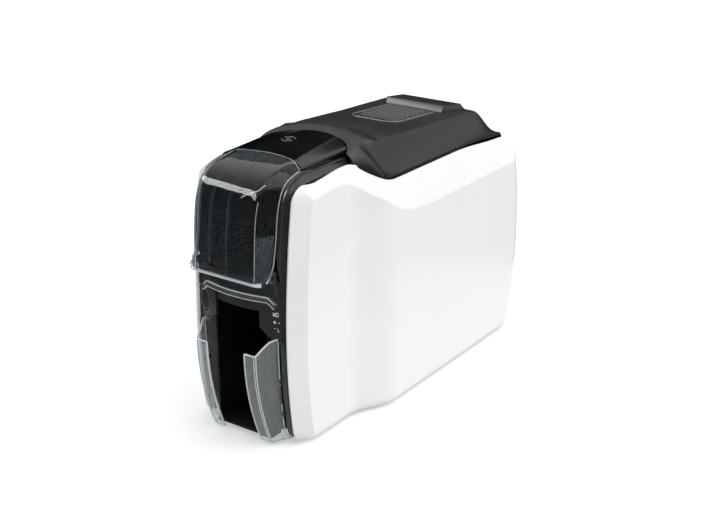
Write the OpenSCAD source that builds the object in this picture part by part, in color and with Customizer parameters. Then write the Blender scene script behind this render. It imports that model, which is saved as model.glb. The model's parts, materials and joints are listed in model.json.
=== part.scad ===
// Slim desktop card printer: card hopper behind a clear door at the top of the front, stacking
// bin between two clear wings below it, white side covers and a black lid over the ribbon bay.
// +X is right seen from the front, +Y is back, +Z is up. The origin is on the table, under
// the middle of the object.

/* [Body] */
// Width over the two side covers
body_w = 158; // [152:1:166]
// Depth from the bin wings to the bulge of the back
body_d = 383; // [379:1:391]
// Height from the table to the top of the lid
body_h = 255; // [253:0.5:258]
// Thickness of the moulded covers
wall = 2.5; // [2:0.1:3]
// Height of the rubber feet under the base
foot_h = 3; // [2:0.5:4]
// Diameter of a rubber foot
foot_d = 14; // [10:1:16]
// Gap between two covers that meet
seam = 0.6; // [0.4:0.1:0.8]
// Clearance of a part that moves past another
gap = 0.4; // [0.3:0.1:0.6]

/* [Side covers] */
// Half width between the front edges of the two covers
front_half = 51; // [50:0.5:53]
// How far a cover's side stands out beside its front edge
front_flare = 11; // [10:0.5:13]
// How far the sloped band at the top leans inwards
bevel_in = 11; // [9:0.5:12]
// Height of the hump over the card hopper above the rest of the top edge
hump_h = 24; // [20:1:25]
// Distance of the low top edge below the top of the object
deck_drop = 38.5; // [38:0.5:42]

/* [Cards] */
// Width of a card
card_w = 54; // [53.9:0.05:54.1]
// Length of a card
card_l = 85.6; // [85.4:0.1:85.8]
// Thickness of a card
card_t = 0.76; // [0.5:0.02:1.0]
// Play of the cards in the hopper and in the bin
card_play = 1.5; // [1:0.1:2]
// Height at which the card runs through the machine
path_z = 161; // [158:0.5:162]
// Height at which the printed card leaves for the bin
exit_z = 99; // [96:0.5:101]

/* [Front] */
// Height of the seam under the upper front
seam_z = 135; // [133:0.5:137]
// How far the wings reach out in front of the covers
wing_reach = 22; // [20:0.5:24]
// Half width of the clear pieces at their foremost corner
nose_half = 33; // [32:0.5:34]
// Half width of the clear pieces where they meet the front
door_half = 42.6; // [42:0.2:43]
// Half of the finger gap between the two wings
finger_half = 21; // [18:0.5:23]
// Thickness of the clear plastic
clear_t = 1.8; // [1.4:0.1:2.2]

/* [Rollers and gears] */
// Radius of a steel roller shaft
shaft_r = 3; // [2.5:0.25:3]
// Radial clearance of a shaft in its bush
run_fit = 0.05; // [0.03:0.01:0.08]
// Wall of a bush
bush_t = 1.6; // [1.2:0.1:2]
// Radius of the platen and pick rollers
platen_r = 9; // [8.5:0.25:9.5]
// Radius of the transport rollers
roller_r = 6.5; // [6:0.25:7]
// Radius of a pinch roller
pinch_r = 5; // [4.5:0.25:5]
// Module of the gear teeth
gear_m = 1.5; // [1.45:0.01:1.5]
// Width of a gear
gear_w = 5; // [4:0.5:6]
// Backlash between two gears at the pitch circle
backlash = 0.2; // [0.15:0.05:0.3]
// Radius of the fixed stud that carries an idler gear
stud_r = 2.5; // [2:0.25:3]

/* [Ribbon and print head] */
// Radius of the full supply roll
supply_r = 17; // [15:0.5:18]
// Radius of the take-up roll
takeup_r = 11; // [9:0.5:13]
// Radius of the core of a ribbon spool
core_r = 6.5; // [6:0.25:7]
// Length of the print head across the card
head_len = 57; // [56:0.5:58]
// Depth of the print head along the card
head_d = 12; // [10:0.5:13]

/* [Chassis] */
// Thickness of the two chassis plates
plate_t = 1.5; // [1.2:0.1:2]
// Distance of each chassis plate from the middle of the machine
plate_x = 36; // [35.5:0.25:36.5]
// Radius of a tie bar between the plates
bar_r = 3; // [2.5:0.25:3.5]
// Side of the square drive motor
motor_side = 42; // [38:1:42]
// Radius of the lid's hinge pin
hinge_r = 2.5; // [2:0.25:3]

/* [Hidden] */
$fn = 48;

// Outer planes of the object
half_w = body_w / 2;
y_nose = -body_d / 2;
y_back = body_d / 2;
face_y = y_nose + wing_reach;
base_z = foot_h;
base_t = 2.5;
floor_z = base_z + base_t;
cover_z0 = base_z - 0.5;

// Side covers: waist in plan, hump in the top edge, bowed front and back edges
waist_y = face_y + 71.5;
waist_run = 53;
waist_in = half_w - front_half - front_flare;
tail_in = 0.7;
tail_run = 111.5;
deck_z = body_h - deck_drop;
hump_y = face_y + 65.5;
hump_run = 80;
rear_droop = 6;
bevel_low = 11;
bevel_high = 32;
nose_droop = 3.5;
bow_z = 100;
bow_up = 0.0006;
bow_low = 0.0009;
back_bow_up = 0.00115;
back_bow_low = 0.0018;
front_round = 13;
back_round = 16;
front_run = 14;
foot_tuck = 5;

// Front: the dark front wall bulges forward in the middle of the plan
front_x1 = front_half - 3.4;
bulge_y = face_y - 6.5;
bulge_k = 0.00435;
front_t = 3;

// Clear door and the cap behind it
door_z0 = 157;
door_pin_y = face_y - 6.5;
door_pin_z = door_z0 + 5;
door_pin_r = 2;
door_boss_r = 3.6;
door_ear_t = 1.6;
cap_y0 = face_y + 47.5;
cap_arch = 14;
lid_y0 = face_y + 119.5;
lid_arch = 25;
lid_y1 = y_back - 23;
cap_half = 42.6;

// Hopper and bin
card_half = (card_w + card_play) / 2;
hopper_wall = 2;
hopper_y0 = face_y - 8.5;
hopper_y1 = hopper_y0 + card_l + card_play;
hopper_top = body_h - 18;
gate_slot = card_t * 1.6;
bin_y1 = y_nose + clear_t + card_l + card_play + 1;
bin_floor = floor_z + 2.2;

// Rollers as [y, z] of the shaft
feed_at = [face_y + 105.5, path_z - roller_r];
front_at = [face_y + 159.5, path_z - roller_r];
platen_at = [face_y + 219.5, path_z - platen_r];
pick_at = [face_y + 49.5, path_z + 0.6 - platen_r];
exit_at = [bin_y1 + 11.5, exit_z - roller_r];
pinch_lift = card_t + 0.3;
feed_pinch_at = [feed_at[0], path_z + pinch_lift + pinch_r];
front_pinch_at = [front_at[0], path_z + pinch_lift + pinch_r];
exit_pinch_at = [exit_at[0], exit_z + pinch_lift + pinch_r];
pinch_shaft_r = 2;
tyre_half = 26;

// Gears, by their numbers of teeth
roller_teeth = 16;
pinion_teeth = 12;
wide_teeth = 24;
front_teeth = 26;
small_teeth = 23;
exit_teeth = 30;
ribbon_teeth = 20;
gear_x0 = plate_x + plate_t + 2;
gear_x1 = gear_x0 + gear_w;
pressure = 20;

// Places of the idlers and of the motor, each from the gears that it meshes with
motor_idler_at = polar(platen_at, pitch_r(roller_teeth) + pitch_r(wide_teeth), -60);
motor_at = polar(motor_idler_at, pitch_r(wide_teeth) + pitch_r(pinion_teeth), -120);
front_idler_at = between(front_at, platen_at, pitch_r(roller_teeth) + pitch_r(front_teeth));
feed_idler_at = between(feed_at, front_at, pitch_r(roller_teeth) + pitch_r(small_teeth));
pick_idler_at = between(pick_at, feed_at, pitch_r(roller_teeth) + pitch_r(small_teeth));
exit_idler_at = between(exit_at, feed_at, pitch_r(roller_teeth) + pitch_r(exit_teeth));

// Ribbon spools, print head and lid hinge as [y, z]
hinge_in = 9;
takeup_share = 58 / 109.5;
supply_at = [platen_at[0] - 62, path_z + 37];
takeup_at = [mix(platen_at[0], lid_y1 - hinge_in, takeup_share), path_z + 33];
spool_half = card_half + 0.6;
cassette_x = spool_half + 1.6;
cassette_t = 1.8;
spool_pin_r = 2.5;
hub_r = 7;
ribbon_pinion_at = polar(takeup_at, pitch_r(ribbon_teeth) + pitch_r(pinion_teeth), -75);
head_z0 = path_z + card_t + 0.5;
head_h = 14;
film_z = path_z + 0.25;
film_t = 0.15;
guide_r = 2;
guide_reach = 16;
hinge_at = [lid_y1 - hinge_in, deck_z - 12.5];
hinge_half = 30;

// Latch on the lid
latch_y0 = mix(lid_y0, lid_y1, 77 / 218.5);
latch_y1 = lid_y1 - 71.5;
latch_half = 24;
latch_front_z = body_h - 10.8;
latch_back_z = body_h - 13.2;
latch_pin_r = 1.5;
latch_pivot = [latch_y1 - 4, latch_back_z - 5.4];
hook_pivot = [lid_y0 + 12, body_h - 17];
catch_at = [lid_y0 + 5, path_z + 45];

// Main board on the left side
board_x = -(plate_x + plate_t + 17);
board_t = 1.6;
board_y0 = y_back - 140;
board_y1 = y_back - 18;
board_z0 = 26;
board_z1 = 118;

function clamp01(t) = min(max(t, 0), 1);
function ease(t) = let (c = clamp01(t)) c * c * (3 - 2 * c);
function mix(a, b, t) = a + (b - a) * t;
function polar(from, r, angle) = [from[0] + r * cos(angle), from[1] + r * sin(angle)];

// The point below the line from a to b that lies r from both
function between(a, b, r) =
    let (
        mid = (a + b) / 2,
        half = norm(b - a) / 2,
        along = (b - a) / norm(b - a)
    ) mid + sqrt(r * r - half * half) * [along[1], -along[0]];

// Plan of the side covers: half width at a depth y
function side_x(y) =
    half_w - waist_in * (1 - ease((y - waist_y) / waist_run))
    - tail_in * ease((y - (y_back - tail_run)) / tail_run);

// How far in from the side the top edge lies at a depth y
function edge_in(y) = mix(front_flare - 3.5, bevel_in, ease((y - waist_y) / waist_run));

// Height of the top edge of a side cover at a depth y
function top_z(y) =
    deck_z + hump_h * (1 - ease((y - hump_y) / hump_run))
    - nose_droop * ease((hump_y - 6 - y) / 45)
    - rear_droop * ease((y - (y_back - 101.5)) / 101.5);

// Height of the sloped band below the top edge
function bevel_h(y) =
    mix(bevel_low, bevel_high, ease((y - hump_y + 21) / 135)) - rear_droop * ease((y - (y_back - 101.5)) / 101.5);

// Front and back edges of a cover at a height z
function front_y(z) = face_y + (z > bow_z ? bow_up : bow_low) * pow(z - bow_z, 2);
function back_y(z) = y_back - (z > bow_z ? back_bow_up : back_bow_low) * pow(z - bow_z, 2);

// How far a round corner of radius r holds the edge back, at a distance d from the corner
function corner(d, r) = d >= r ? 0 : r - sqrt(max(r * r - pow(r - d, 2), 0));

// Outer face of a cover: the waist less the bands that lean in along its four edges
function cover_x(y, yb, z) =
    let (
        top = edge_in(yb) * clamp01(1 - (top_z(yb) - z) / bevel_h(yb)),
        front = (side_x(yb) - front_half) * clamp01(1 - (y - front_end(z)) / front_run),
        back = 6 * pow(clamp01(1 - (back_y(z) - y) / 18), 2),
        foot = foot_tuck * pow(clamp01(1 - (z - cover_z0) / 9), 2)
    ) side_x(yb) - pow(pow(top, 6) + pow(front, 6) + pow(back, 6) + pow(foot, 6), 1 / 6);

// Steps from 0 to 1 that crowd towards both ends
function crowd(i, n) = let (t = i / n) mix(t, 0.5 - 0.5 * cos(180 * t), 0.8);

// Front and back end of a cover at a height z
function front_end(z) =
    front_y(z) + corner(top_z(face_y) - z, front_round) + corner(z - cover_z0, front_round);
function back_end(z) =
    back_y(z) - corner(top_z(y_back) - z, back_round) - corner(z - cover_z0, front_round);

// One point of a cover: u runs from front to back, v from bottom to top
function cover_point(u, v) =
    let (
        yb = mix(face_y, y_back, u),
        z = mix(cover_z0, top_z(yb), v),
        y = mix(front_end(z), back_end(z), u)
    ) [cover_x(y, yb, z), y, z];

// The same point of the inner face: in from the edges and from the outside by the wall
function cover_inside(u, v) =
    let (p = cover_point(u, v))
    [p[0] - wall, p[1] + wall * pow(1 - 2 * u, 7), p[2] + wall * pow(1 - 2 * v, 7)];

// Faces of a closed sheet: an outer and an inner grid of nu by nv cells and the rim between them
function sheet_faces(nu, nv, flip) =
    let (
        row = nv + 1,
        far = (nu + 1) * row,
        outer = [for (i = [0:nu - 1], j = [0:nv - 1])
            each [[i * row + j, i * row + j + 1, (i + 1) * row + j + 1],
                  [i * row + j, (i + 1) * row + j + 1, (i + 1) * row + j]]],
        ring = [
            for (j = [0:nv - 1]) j,
            for (i = [0:nu - 1]) i * row + nv,
            for (j = [nv:-1:1]) nu * row + j,
            for (i = [nu:-1:1]) i * row
        ],
        n = len(ring),
        inner = [for (f = outer) [far + f[0], far + f[2], far + f[1]]],
        rim = [for (k = [0:n - 1])
            each [[ring[k], far + ring[k], far + ring[(k + 1) % n]],
                  [ring[k], far + ring[(k + 1) % n], ring[(k + 1) % n]]]],
        all = concat(outer, inner, rim)
    ) flip ? [for (f = all) [f[0], f[2], f[1]]] : all;

module sheet(outer, inner, nu, nv, flip = false) {
    polyhedron(points = concat(outer, inner), faces = sheet_faces(nu, nv, flip), convexity = 8);
}

// Extrudes a profile drawn in (y, z) along X from x0 to x1
module along_x(x0, x1) {
    translate([x0, 0, 0]) rotate([90, 0, 90]) linear_extrude(height = x1 - x0) children();
}

// A cylinder along X at [y, z]
module rod(at, x0, x1, r) {
    translate([x0, at[0], at[1]]) rotate([0, 90, 0]) cylinder(r = r, h = x1 - x0);
}

// A plate seen from the front, drawn in (x, z), from y0 to y1
module along_y(y0, y1) {
    translate([0, y1, 0]) rotate([90, 0, 0]) linear_extrude(height = y1 - y0) children();
}

module block(x0, x1, y0, y1, z0, z1) {
    translate([x0, y0, z0]) cube([x1 - x0, y1 - y0, z1 - z0]);
}

// Side covers
cover_nu = 34;
cover_nv = 15;

module side_cover() {
    outer = [for (i = [0:cover_nu], j = [0:cover_nv]) cover_point(crowd(i, cover_nu), crowd(j, cover_nv))];
    inner = [for (i = [0:cover_nu], j = [0:cover_nv]) cover_inside(crowd(i, cover_nu), crowd(j, cover_nv))];
    sheet(outer, inner, cover_nu, cover_nv);
}

module side_cover_right() {
    color("white") side_cover();
}

module side_cover_left() {
    color("white") mirror([1, 0, 0]) side_cover();
}

// Base: a floor that follows the covers, with an upstand at the back
base_y0 = face_y + 28;
base_y1 = y_back - 22;
base_steps = 28;

function base_half(y) =
    let (u = (y - front_end(cover_z0)) / (back_end(cover_z0) - front_end(cover_z0)))
    cover_x(y, mix(face_y, y_back, u), cover_z0) - wall - 2 * gap;

module base_tray() {
    ys = [for (i = [0:base_steps]) mix(base_y0, base_y1, i / base_steps)];
    outline = concat(
        [for (y = ys) [base_half(y), y]],
        [for (i = [base_steps:-1:0]) [-base_half(ys[i]), ys[i]]]
    );
    color([0.06, 0.06, 0.065]) difference() {
        translate([0, 0, base_z]) linear_extrude(height = base_t) polygon(outline);
        for (x = [-14, 14], i = [0:5])
            block(x - 8, x + 8, 10 + 14 * i, 16 + 14 * i, base_z - 1, floor_z + 1);
    }
}

function foot_places() = [
    for (x = [-1, 1]) [x * (front_half - 11), base_y0 + 14],
    for (x = [-1, 1]) [x * (half_w - 18), base_y1 - 16]
];

module rubber_feet() {
    color([0.1, 0.1, 0.1]) for (p = foot_places())
        translate([p[0], p[1], 0]) rotate_extrude()
            polygon([[0, 0], [foot_d / 2 - 1, 0], [foot_d / 2, 1], [foot_d / 2, foot_h], [0, foot_h]]);
}

// Upper front: two side strips beside the door and the cap, and the band under the door
function bulge(x) = bulge_y + bulge_k * x * x;

module plan_arc(x0, x1, lead, thick, steps = 16) {
    xs = [for (i = [0:steps]) mix(x0, x1, i / steps)];
    polygon(concat(
        [for (x = xs) [x, bulge(x) - lead]],
        [for (i = [steps:-1:0]) [xs[i], bulge(xs[i]) - lead + thick]]
    ));
}

bezel_top_y1 = waist_y + 22;
bezel_corner = 12;

function bezel_line(inset) = concat(
    [for (i = [0:8])
        let (z = mix(seam_z + seam, top_z(face_y) - bezel_corner - 2, i / 8))
        [front_y(z) + 0.8 + inset, z]],
    [for (a = [15:15:75])
        let (z = top_z(face_y) - 2 - bezel_corner * (1 - sin(a)))
        [front_y(z) + 0.8 + bezel_corner * (1 - cos(a)) + inset * cos(a), z - inset * sin(a)]],
    [for (i = [0:8])
        let (y = mix(face_y + 24, bezel_top_y1, i / 8))
        [y, top_z(y) - 1.5 - inset]]
);

// Each strip slants from beside the door's rear edge out to the edge of the side cover. The rows of
// its inner edge, its outer edge and the direction of its thickness go together.
bezel_x0 = door_half + seam;
bezel_low = [seam_z + seam - 0.1, door_z0 - 7, door_z0 + 1];
bezel_high = [door_z0 + 13, door_z0 + 27, door_z0 + 41, door_z0 + 53, door_z0 + 62];
bezel_turn = [20, 45, 70, 88];
bezel_top_y = [face_y + 28, face_y + 33, face_y + 47.5, face_y + 69.5, waist_y + 22];
bezel_wide = 3.6;

function bezel_inner() = concat(
    [for (z = bezel_low) [bulge(bezel_x0) - 0.4, z]],
    [[face_y - 1.8, bezel_high[0]]],
    [for (k = [3:12]) door_yz(k, 1, 1) + [0.3, 0]],
    [for (i = [2:4]) [bezel_top_y[i], body_h - 12]]
);
function bezel_outer() =
    let (c = top_z(face_y) - 2 - bezel_corner)
    concat(
        [for (z = concat(bezel_low, bezel_high)) [front_y(z) + 0.8, z, 0]],
        [for (a = bezel_turn)
            [front_y(c) + 0.8 + bezel_corner * (1 - cos(a)), c + bezel_corner * sin(a), a > 80 ? 0.1 : 0]],
        [for (y = bezel_top_y) [y, top_z(y) - 1.5, clamp01((y - face_y - 22) / 25)]]
    );
bezel_angles = concat([for (i = [1:8]) 0], bezel_turn, [for (i = [1:5]) 90]);

function bezel_rows(inset) =
    let (a = bezel_inner(), b = bezel_outer())
    [for (i = [0:len(b) - 1])
        for (t = [0, 0.5, 1])
            [mix(bezel_x0, front_x1 + bezel_wide * b[i][2], t),
             mix(a[i][0], b[i][0], t) + inset * cos(bezel_angles[i]),
             mix(a[i][1], b[i][1], t) - inset * sin(bezel_angles[i])]];

module bezel_strip() {
    inner = bezel_line(7);
    sheet(bezel_rows(0), bezel_rows(front_t), len(bezel_angles) - 1, 2, true);
    along_x(bezel_x0, bezel_x0 + 2)
        polygon(concat(bezel_inner() + [for (a = bezel_angles) [cos(a), -sin(a)]],
            [for (i = [len(inner) - 1:-1:0]) inner[i]]));
}

module front_bezel() {
    boss_x1 = door_half - clear_t - gap;
    boss_x0 = boss_x1 - 3.6;
    arm_y = bulge(boss_x0) + front_t - 0.4;
    color([0.13, 0.135, 0.14]) difference() {
        union() {
            for (s = [0, 1]) mirror([s, 0, 0]) {
                bezel_strip();
                rod([door_pin_y, door_pin_z], boss_x0, boss_x1, door_boss_r);
                block(boss_x0, boss_x1, door_pin_y, arm_y, door_z0 + 1.6, door_pin_z + door_boss_r);
                block(boss_x0, boss_x1, arm_y - 2, arm_y, door_z0 - 4, door_z0 + 3);
            }
            translate([0, 0, seam_z + seam]) linear_extrude(height = door_z0 - gap - seam_z - seam)
                plan_arc(-front_x1 + 1, front_x1 - 1, 0, front_t);
        }
        for (s = [0, 1]) mirror([s, 0, 0])
            rod([door_pin_y, door_pin_z], boss_x0 - 1, boss_x1 + 1, door_pin_r + run_fit);
    }
}

// Lower front: cheeks with a notch between them, strips beside the wings, and the button's hole
notch_half = 24.2;
notch_z = 113;
cheek_z = 101;
strip_half = 42.5;
button_x = -(front_x1 - 7.2);
button_z = 120.7;
button_w = 10;
button_h = 20;
lens_x = front_x1 - 10.5;
lens_z = [126.5, 119.5, 112.5];

module stadium(w, h) {
    translate([0, (h - w) / 2]) circle(d = w);
    translate([0, -(h - w) / 2]) circle(d = w);
    square([w, h - w], center = true);
}

module lower_strip_profile() {
    zs = [for (i = [0:10]) mix(cover_z0 + 6, cheek_z, i / 10)];
    lead = function (z) front_y(z) + 0.8 + corner(z - cover_z0, front_round);
    polygon(concat(
        [for (z = zs) [lead(z), z]],
        [for (i = [10:-1:0]) [lead(zs[i]) + front_t, zs[i]]]
    ));
}

module lower_front() {
    color([0.2, 0.205, 0.21]) difference() {
        union() {
            for (s = [0, 1]) mirror([s, 0, 0]) {
                intersection() {
                    translate([0, 0, cheek_z]) linear_extrude(height = seam_z - cheek_z)
                        plan_arc(notch_half, front_x1, 0, front_t);
                    along_y(bulge_y - 1, face_y + 20)
                        polygon([[notch_half, seam_z], [front_x1, seam_z], [front_x1, cheek_z],
                                 [front_x1 - 10, cheek_z], [33, cheek_z + 4], [notch_half, notch_z]]);
                }
                along_x(strip_half, front_x1) lower_strip_profile();
            }
            translate([0, 0, seam_z - 8]) linear_extrude(height = 8) plan_arc(-notch_half, notch_half, -2, 2);
        }
        translate([button_x, 0, button_z]) rotate([90, 0, 0])
            linear_extrude(height = 200) stadium(button_w + 2 * gap, button_h + 2 * gap);
        for (z = lens_z) block(lens_x - 1.6, lens_x + 1.6, bulge_y - 2, face_y + 20, z - 1.6, z + 1.6);
    }
}

// Clear bar over the mouth, in three lengths
bar_z0 = seam_z + 2;
bar_h = 5.5;
bar_end = 34.5;
bar_gap = 0.5;

module exit_bar() {
    step = 2 * bar_end / 3;
    color([0.85, 0.9, 0.92, 0.5]) for (i = [0:2])
        translate([0, 0, bar_z0]) linear_extrude(height = bar_h)
            plan_arc(-bar_end + i * step + bar_gap / 2, -bar_end + (i + 1) * step - bar_gap / 2, 2.8, 2.8, 6);
}

// Clear door: its middle line from the lip to the top edge, and its rear edge at each side
door_line = [
    [-189.2, 157.5, -186.5, 158.5], [-190.3, 160.5, -181, 163], [-190.6, 170, -175, 173],
    [-190.4, 182, -172.6, 184], [-189.6, 197, -170.3, 198], [-188.2, 210, -169, 210],
    [-185.8, 222, -167.2, 219], [-181.5, 232, -165, 226.5], [-174.5, 240, -161.5, 233.5],
    [-164, 245, -156.5, 239], [-150, 248, -149, 242.6], [-136, 249.6, -141.5, 244.6],
    [-123.2, 250.6, -136.6, 245.4]
];
door_x = [[0, -0.02], [0.22, -0.015], [0.42, 0], [0.6, 0.01], [0.7, 0.04], [0.76, 0.12],
          [0.82, 0.33], [0.9, 0.64], [1, 1]];
door_ref = [-169.5, 157];

// The door's points move with the face of the covers and with the sill that carries the door.
// The top rows follow the arched edge of the cap.
function door_yz(k, t, f = 0) =
    let (p = door_line[k], ty = mix(t, f * f, clamp01((k - 9) / 3)))
    [mix(p[0], p[2], ty) - door_ref[0] + face_y, mix(p[1], p[3], t) - door_ref[1] + door_z0];

function door_half_x(f) = f <= 0.76 ? f / 0.76 * nose_half : mix(nose_half, door_half, (f - 0.76) / 0.24);

function door_normal(k) =
    let (
        n = len(door_line) - 1,
        a = door_yz(max(k - 1, 0), 0),
        b = door_yz(min(k + 1, n), 0),
        d = (b - a) / norm(b - a)
    ) [d[1], -d[0]];

function door_point(k, f, t, inset) =
    let (
        yz = door_yz(k, t, f),
        n = door_normal(k),
        s = clamp01((abs(f) - 0.7) / 0.12)
    ) [
        sign(f) * (door_half_x(abs(f)) - inset * s),
        yz[0] + n[0] * inset * (1 - 0.7 * s),
        yz[1] + n[1] * inset * (1 - 0.7 * s)
    ];

function door_row(k, inset) = concat(
    [for (i = [len(door_x) - 1:-1:1]) door_point(k, -door_x[i][0], door_x[i][1], inset)],
    [for (i = [0:len(door_x) - 1]) door_point(k, door_x[i][0], door_x[i][1], inset)]
);

module input_door() {
    n = len(door_line) - 1;
    color([0.75, 0.8, 0.83, 0.35]) {
        sheet([for (k = [0:n]) each door_row(k, 0)], [for (k = [0:n]) each door_row(k, clear_t)],
              n, 2 * len(door_x) - 2, true);
        for (s = [0, 1]) mirror([s, 0, 0])
            along_x(door_half - clear_t + 0.1, door_half - clear_t + 0.1 + door_ear_t) polygon([
                [door_pin_y - 5.6, door_pin_z], [door_pin_y - 4.4, door_pin_z + 5], [door_pin_y, door_pin_z + 8],
                [door_pin_y + 4, door_pin_z + 3], [door_pin_y + 4, door_pin_z - 3], [door_pin_y, door_pin_z - 4.4],
                [door_pin_y - 5, door_pin_z - 3]
            ]);
        for (x = [-14, 4])
            along_x(x - 0.5, x + 0.5) polygon(concat(
                [for (k = [2:8]) door_yz(k, 0) + door_normal(k) * clear_t * 0.5],
                [for (k = [8:-1:2]) door_yz(k, 0) + door_normal(k) * (clear_t * 0.7 + 1.9 * sin((k - 2) * 30))]
            ));
    }
}

module door_pins() {
    color("silver") for (s = [0, 1]) mirror([s, 0, 0])
        rod([door_pin_y, door_pin_z], door_half - clear_t - gap - 4, door_half - clear_t + 0.1, door_pin_r);
}

// Clear wings of the bin: a flange at the front wall, a slanted side and a lip turned inwards
wing_z0 = bin_floor - 1.5;
wing_z1 = 93.5;
wing_rise = 11;
wing_plan = [
    [door_half - 0.8, 0, 1], [door_half - 1.6, 0.16, 1], [door_half - 3.6, 0.3, 0.94],
    [mix(door_half, nose_half, 0.72), 0.62, 0.5], [nose_half + 0.9, 0.88, 0.12],
    [nose_half - 0.4, 0.97, 0], [mix(nose_half, finger_half, 0.5), 1, 0], [finger_half, 1, 0]
];

function wing_lead(z) = y_nose + 0.0024 * pow(max(wing_z1 - z, 0), 2);
function wing_root(z) = front_y(z) - 0.4 + corner(z - cover_z0, front_round);

function wing_point(i, v, inset) =
    let (
        p = wing_plan[i],
        z = mix(wing_z0, wing_z1 + wing_rise * p[2], v),
        side = i < 5 ? 1 : 0,
        y = mix(wing_root(z), wing_lead(z), p[1])
    ) [
        p[0] - inset * (i < 6 ? 1 : 0),
        y + inset * (i < 5 ? 0 : 1),
        z
    ];

wing_rows = 12;

module wing() {
    n = len(wing_plan) - 1;
    sheet(
        [for (i = [0:n], j = [0:wing_rows]) wing_point(i, j / wing_rows, 0)],
        [for (i = [0:n], j = [0:wing_rows]) wing_point(i, j / wing_rows, clear_t)],
        n, wing_rows, true
    );
    for (z = [32, 65])
        block(door_half - 3, strip_half, wing_root(z) - 1, wing_root(z) + 3.6, z - 2, z + 2);
}

module output_wing_right() {
    color([0.75, 0.8, 0.83, 0.35]) wing();
}

module output_wing_left() {
    color([0.75, 0.8, 0.83, 0.35]) mirror([1, 0, 0]) wing();
}

// Bin: floor, two sides and a back wall with the card's way out
mouth_low = 3.5;
mouth_high = 5;
bin_top = seam_z - 9;
bin_side_y0 = face_y + 1;

module output_bin() {
    x1 = card_half + hopper_wall;
    color([0.05, 0.05, 0.055]) {
        block(-x1, x1, bin_side_y0, bin_y1 + hopper_wall, floor_z, bin_floor);
        for (s = [0, 1]) mirror([s, 0, 0])
            block(card_half, x1, bin_side_y0, bin_y1 + hopper_wall, bin_floor, bin_top);
        block(-card_half, card_half, bin_y1, bin_y1 + hopper_wall, bin_floor, exit_z - mouth_low);
        block(-card_half, card_half, bin_y1, bin_y1 + hopper_wall, exit_z + mouth_high, bin_top);
    }
}

// Power button: an oval cap on a stem that presses the switch on the front board
button_face = front_t + 0.6;
button_y = bulge(button_x) + 0.9;
button_travel = 1.5;
board_front_y = button_y + button_face + button_travel + 5.5;

module power_button() {
    color([0.16, 0.165, 0.17]) {
        translate([button_x, button_y + button_face, button_z]) rotate([90, 0, 0])
            linear_extrude(height = button_face) stadium(button_w, button_h);
        translate([button_x, 0, button_z]) rotate([-90, 0, 0])
            translate([0, 0, button_y + button_face]) cylinder(r = 1.6, h = 3);
    }
}

module status_lenses() {
    color([0.9, 0.92, 0.9]) for (z = lens_z)
        block(lens_x - 1.5, lens_x + 1.5, bulge(lens_x) + 0.4, bulge(lens_x) + front_t + 0.5, z - 1.5, z + 1.5);
}

// Front board: one narrow board behind each cheek, with the switch and the lamps
module front_board() {
    color([0.05, 0.3, 0.16]) for (s = [-1, 1]) {
        x0 = card_half + hopper_wall;
        a = s > 0 ? x0 : -front_x1 + 1;
        b = s > 0 ? front_x1 - 1 : -x0;
        block(a, b, board_front_y, board_front_y + board_t, notch_z - 6, seam_z - 2);
    }
    color("silver") block(button_x - 3, button_x + 3, board_front_y - 2.2, board_front_y, button_z - 3, button_z + 3);
    color("white") for (z = lens_z)
        block(lens_x - 1.2, lens_x + 1.2, bulge(lens_x) + front_t + 0.5, board_front_y, z - 1.2, z + 1.2);
}

// Card hopper: floor with windows for the pick roller, sides, and a back wall over the card slot
hopper_t = 2.5;
window_x = [8, 22];

module card_hopper() {
    x1 = card_half + hopper_wall;
    y_in = bulge_y + front_t + 1;
    color([0.05, 0.05, 0.055]) difference() {
        union() {
            block(-x1, x1, y_in, hopper_y1 + hopper_wall, path_z - hopper_t, path_z);
            block(-card_half, card_half, hopper_y0, y_in, path_z - 1.8, path_z);
            for (s = [0, 1]) mirror([s, 0, 0])
                block(card_half, x1, y_in, hopper_y1 + hopper_wall, path_z, hopper_top);
            block(-card_half, card_half, hopper_y1, hopper_y1 + hopper_wall, path_z + gate_slot, hopper_top);
        }
        for (s = [-1, 1]) {
            a = s > 0 ? window_x[0] - 1 : -window_x[1] - 1;
            block(a, a + window_x[1] - window_x[0] + 2, pick_at[0] - platen_r + 1, pick_at[0] + platen_r - 1,
                  path_z - 5, path_z + 1);
        }
    }
}

// Weight that presses the stack onto the pick roller
weight_rest = path_z + 1.0;
weight_l = 60;

module card_weight() {
    x1 = card_half - gap;
    y1 = hopper_y1 - 1;
    color([0.07, 0.07, 0.075]) difference() {
        union() {
            block(-x1, x1, y1 - weight_l, y1, weight_rest, weight_rest + 3);
            block(-x1 + 8, x1 - 8, y1 - weight_l + 12, y1 - 10, weight_rest + 3, weight_rest + 10);
        }
        block(-10, 10, y1 - weight_l + 16, y1 - weight_l + 30, weight_rest + 5, weight_rest + 11);
    }
}

// Cap over the hopper: from the arched edge of the door to the arched front of the lid
// Its section is flat, with a facet that widens towards the lid, a rolled edge and a straight side.
cap_nu = 12;
cap_flat = [28, 18];
cap_drop = [3.4, 2.4];

function cap_profile(s) =
    let (c = mix(cap_flat[0], cap_flat[1], s) / cap_half, d = mix(cap_drop[0], cap_drop[1], s))
    [[0, 0], [c / 2, -0.06], [c, -0.25], [c + 0.04, -0.5], [0.965, -d], [0.99, -d - 0.4], [1, -d - 1.1], [1, -11]];

function cap_top(y) = mix(250.8, 252.6, clamp01((y - cap_y0) / 71)) - 255 + body_h;

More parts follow.
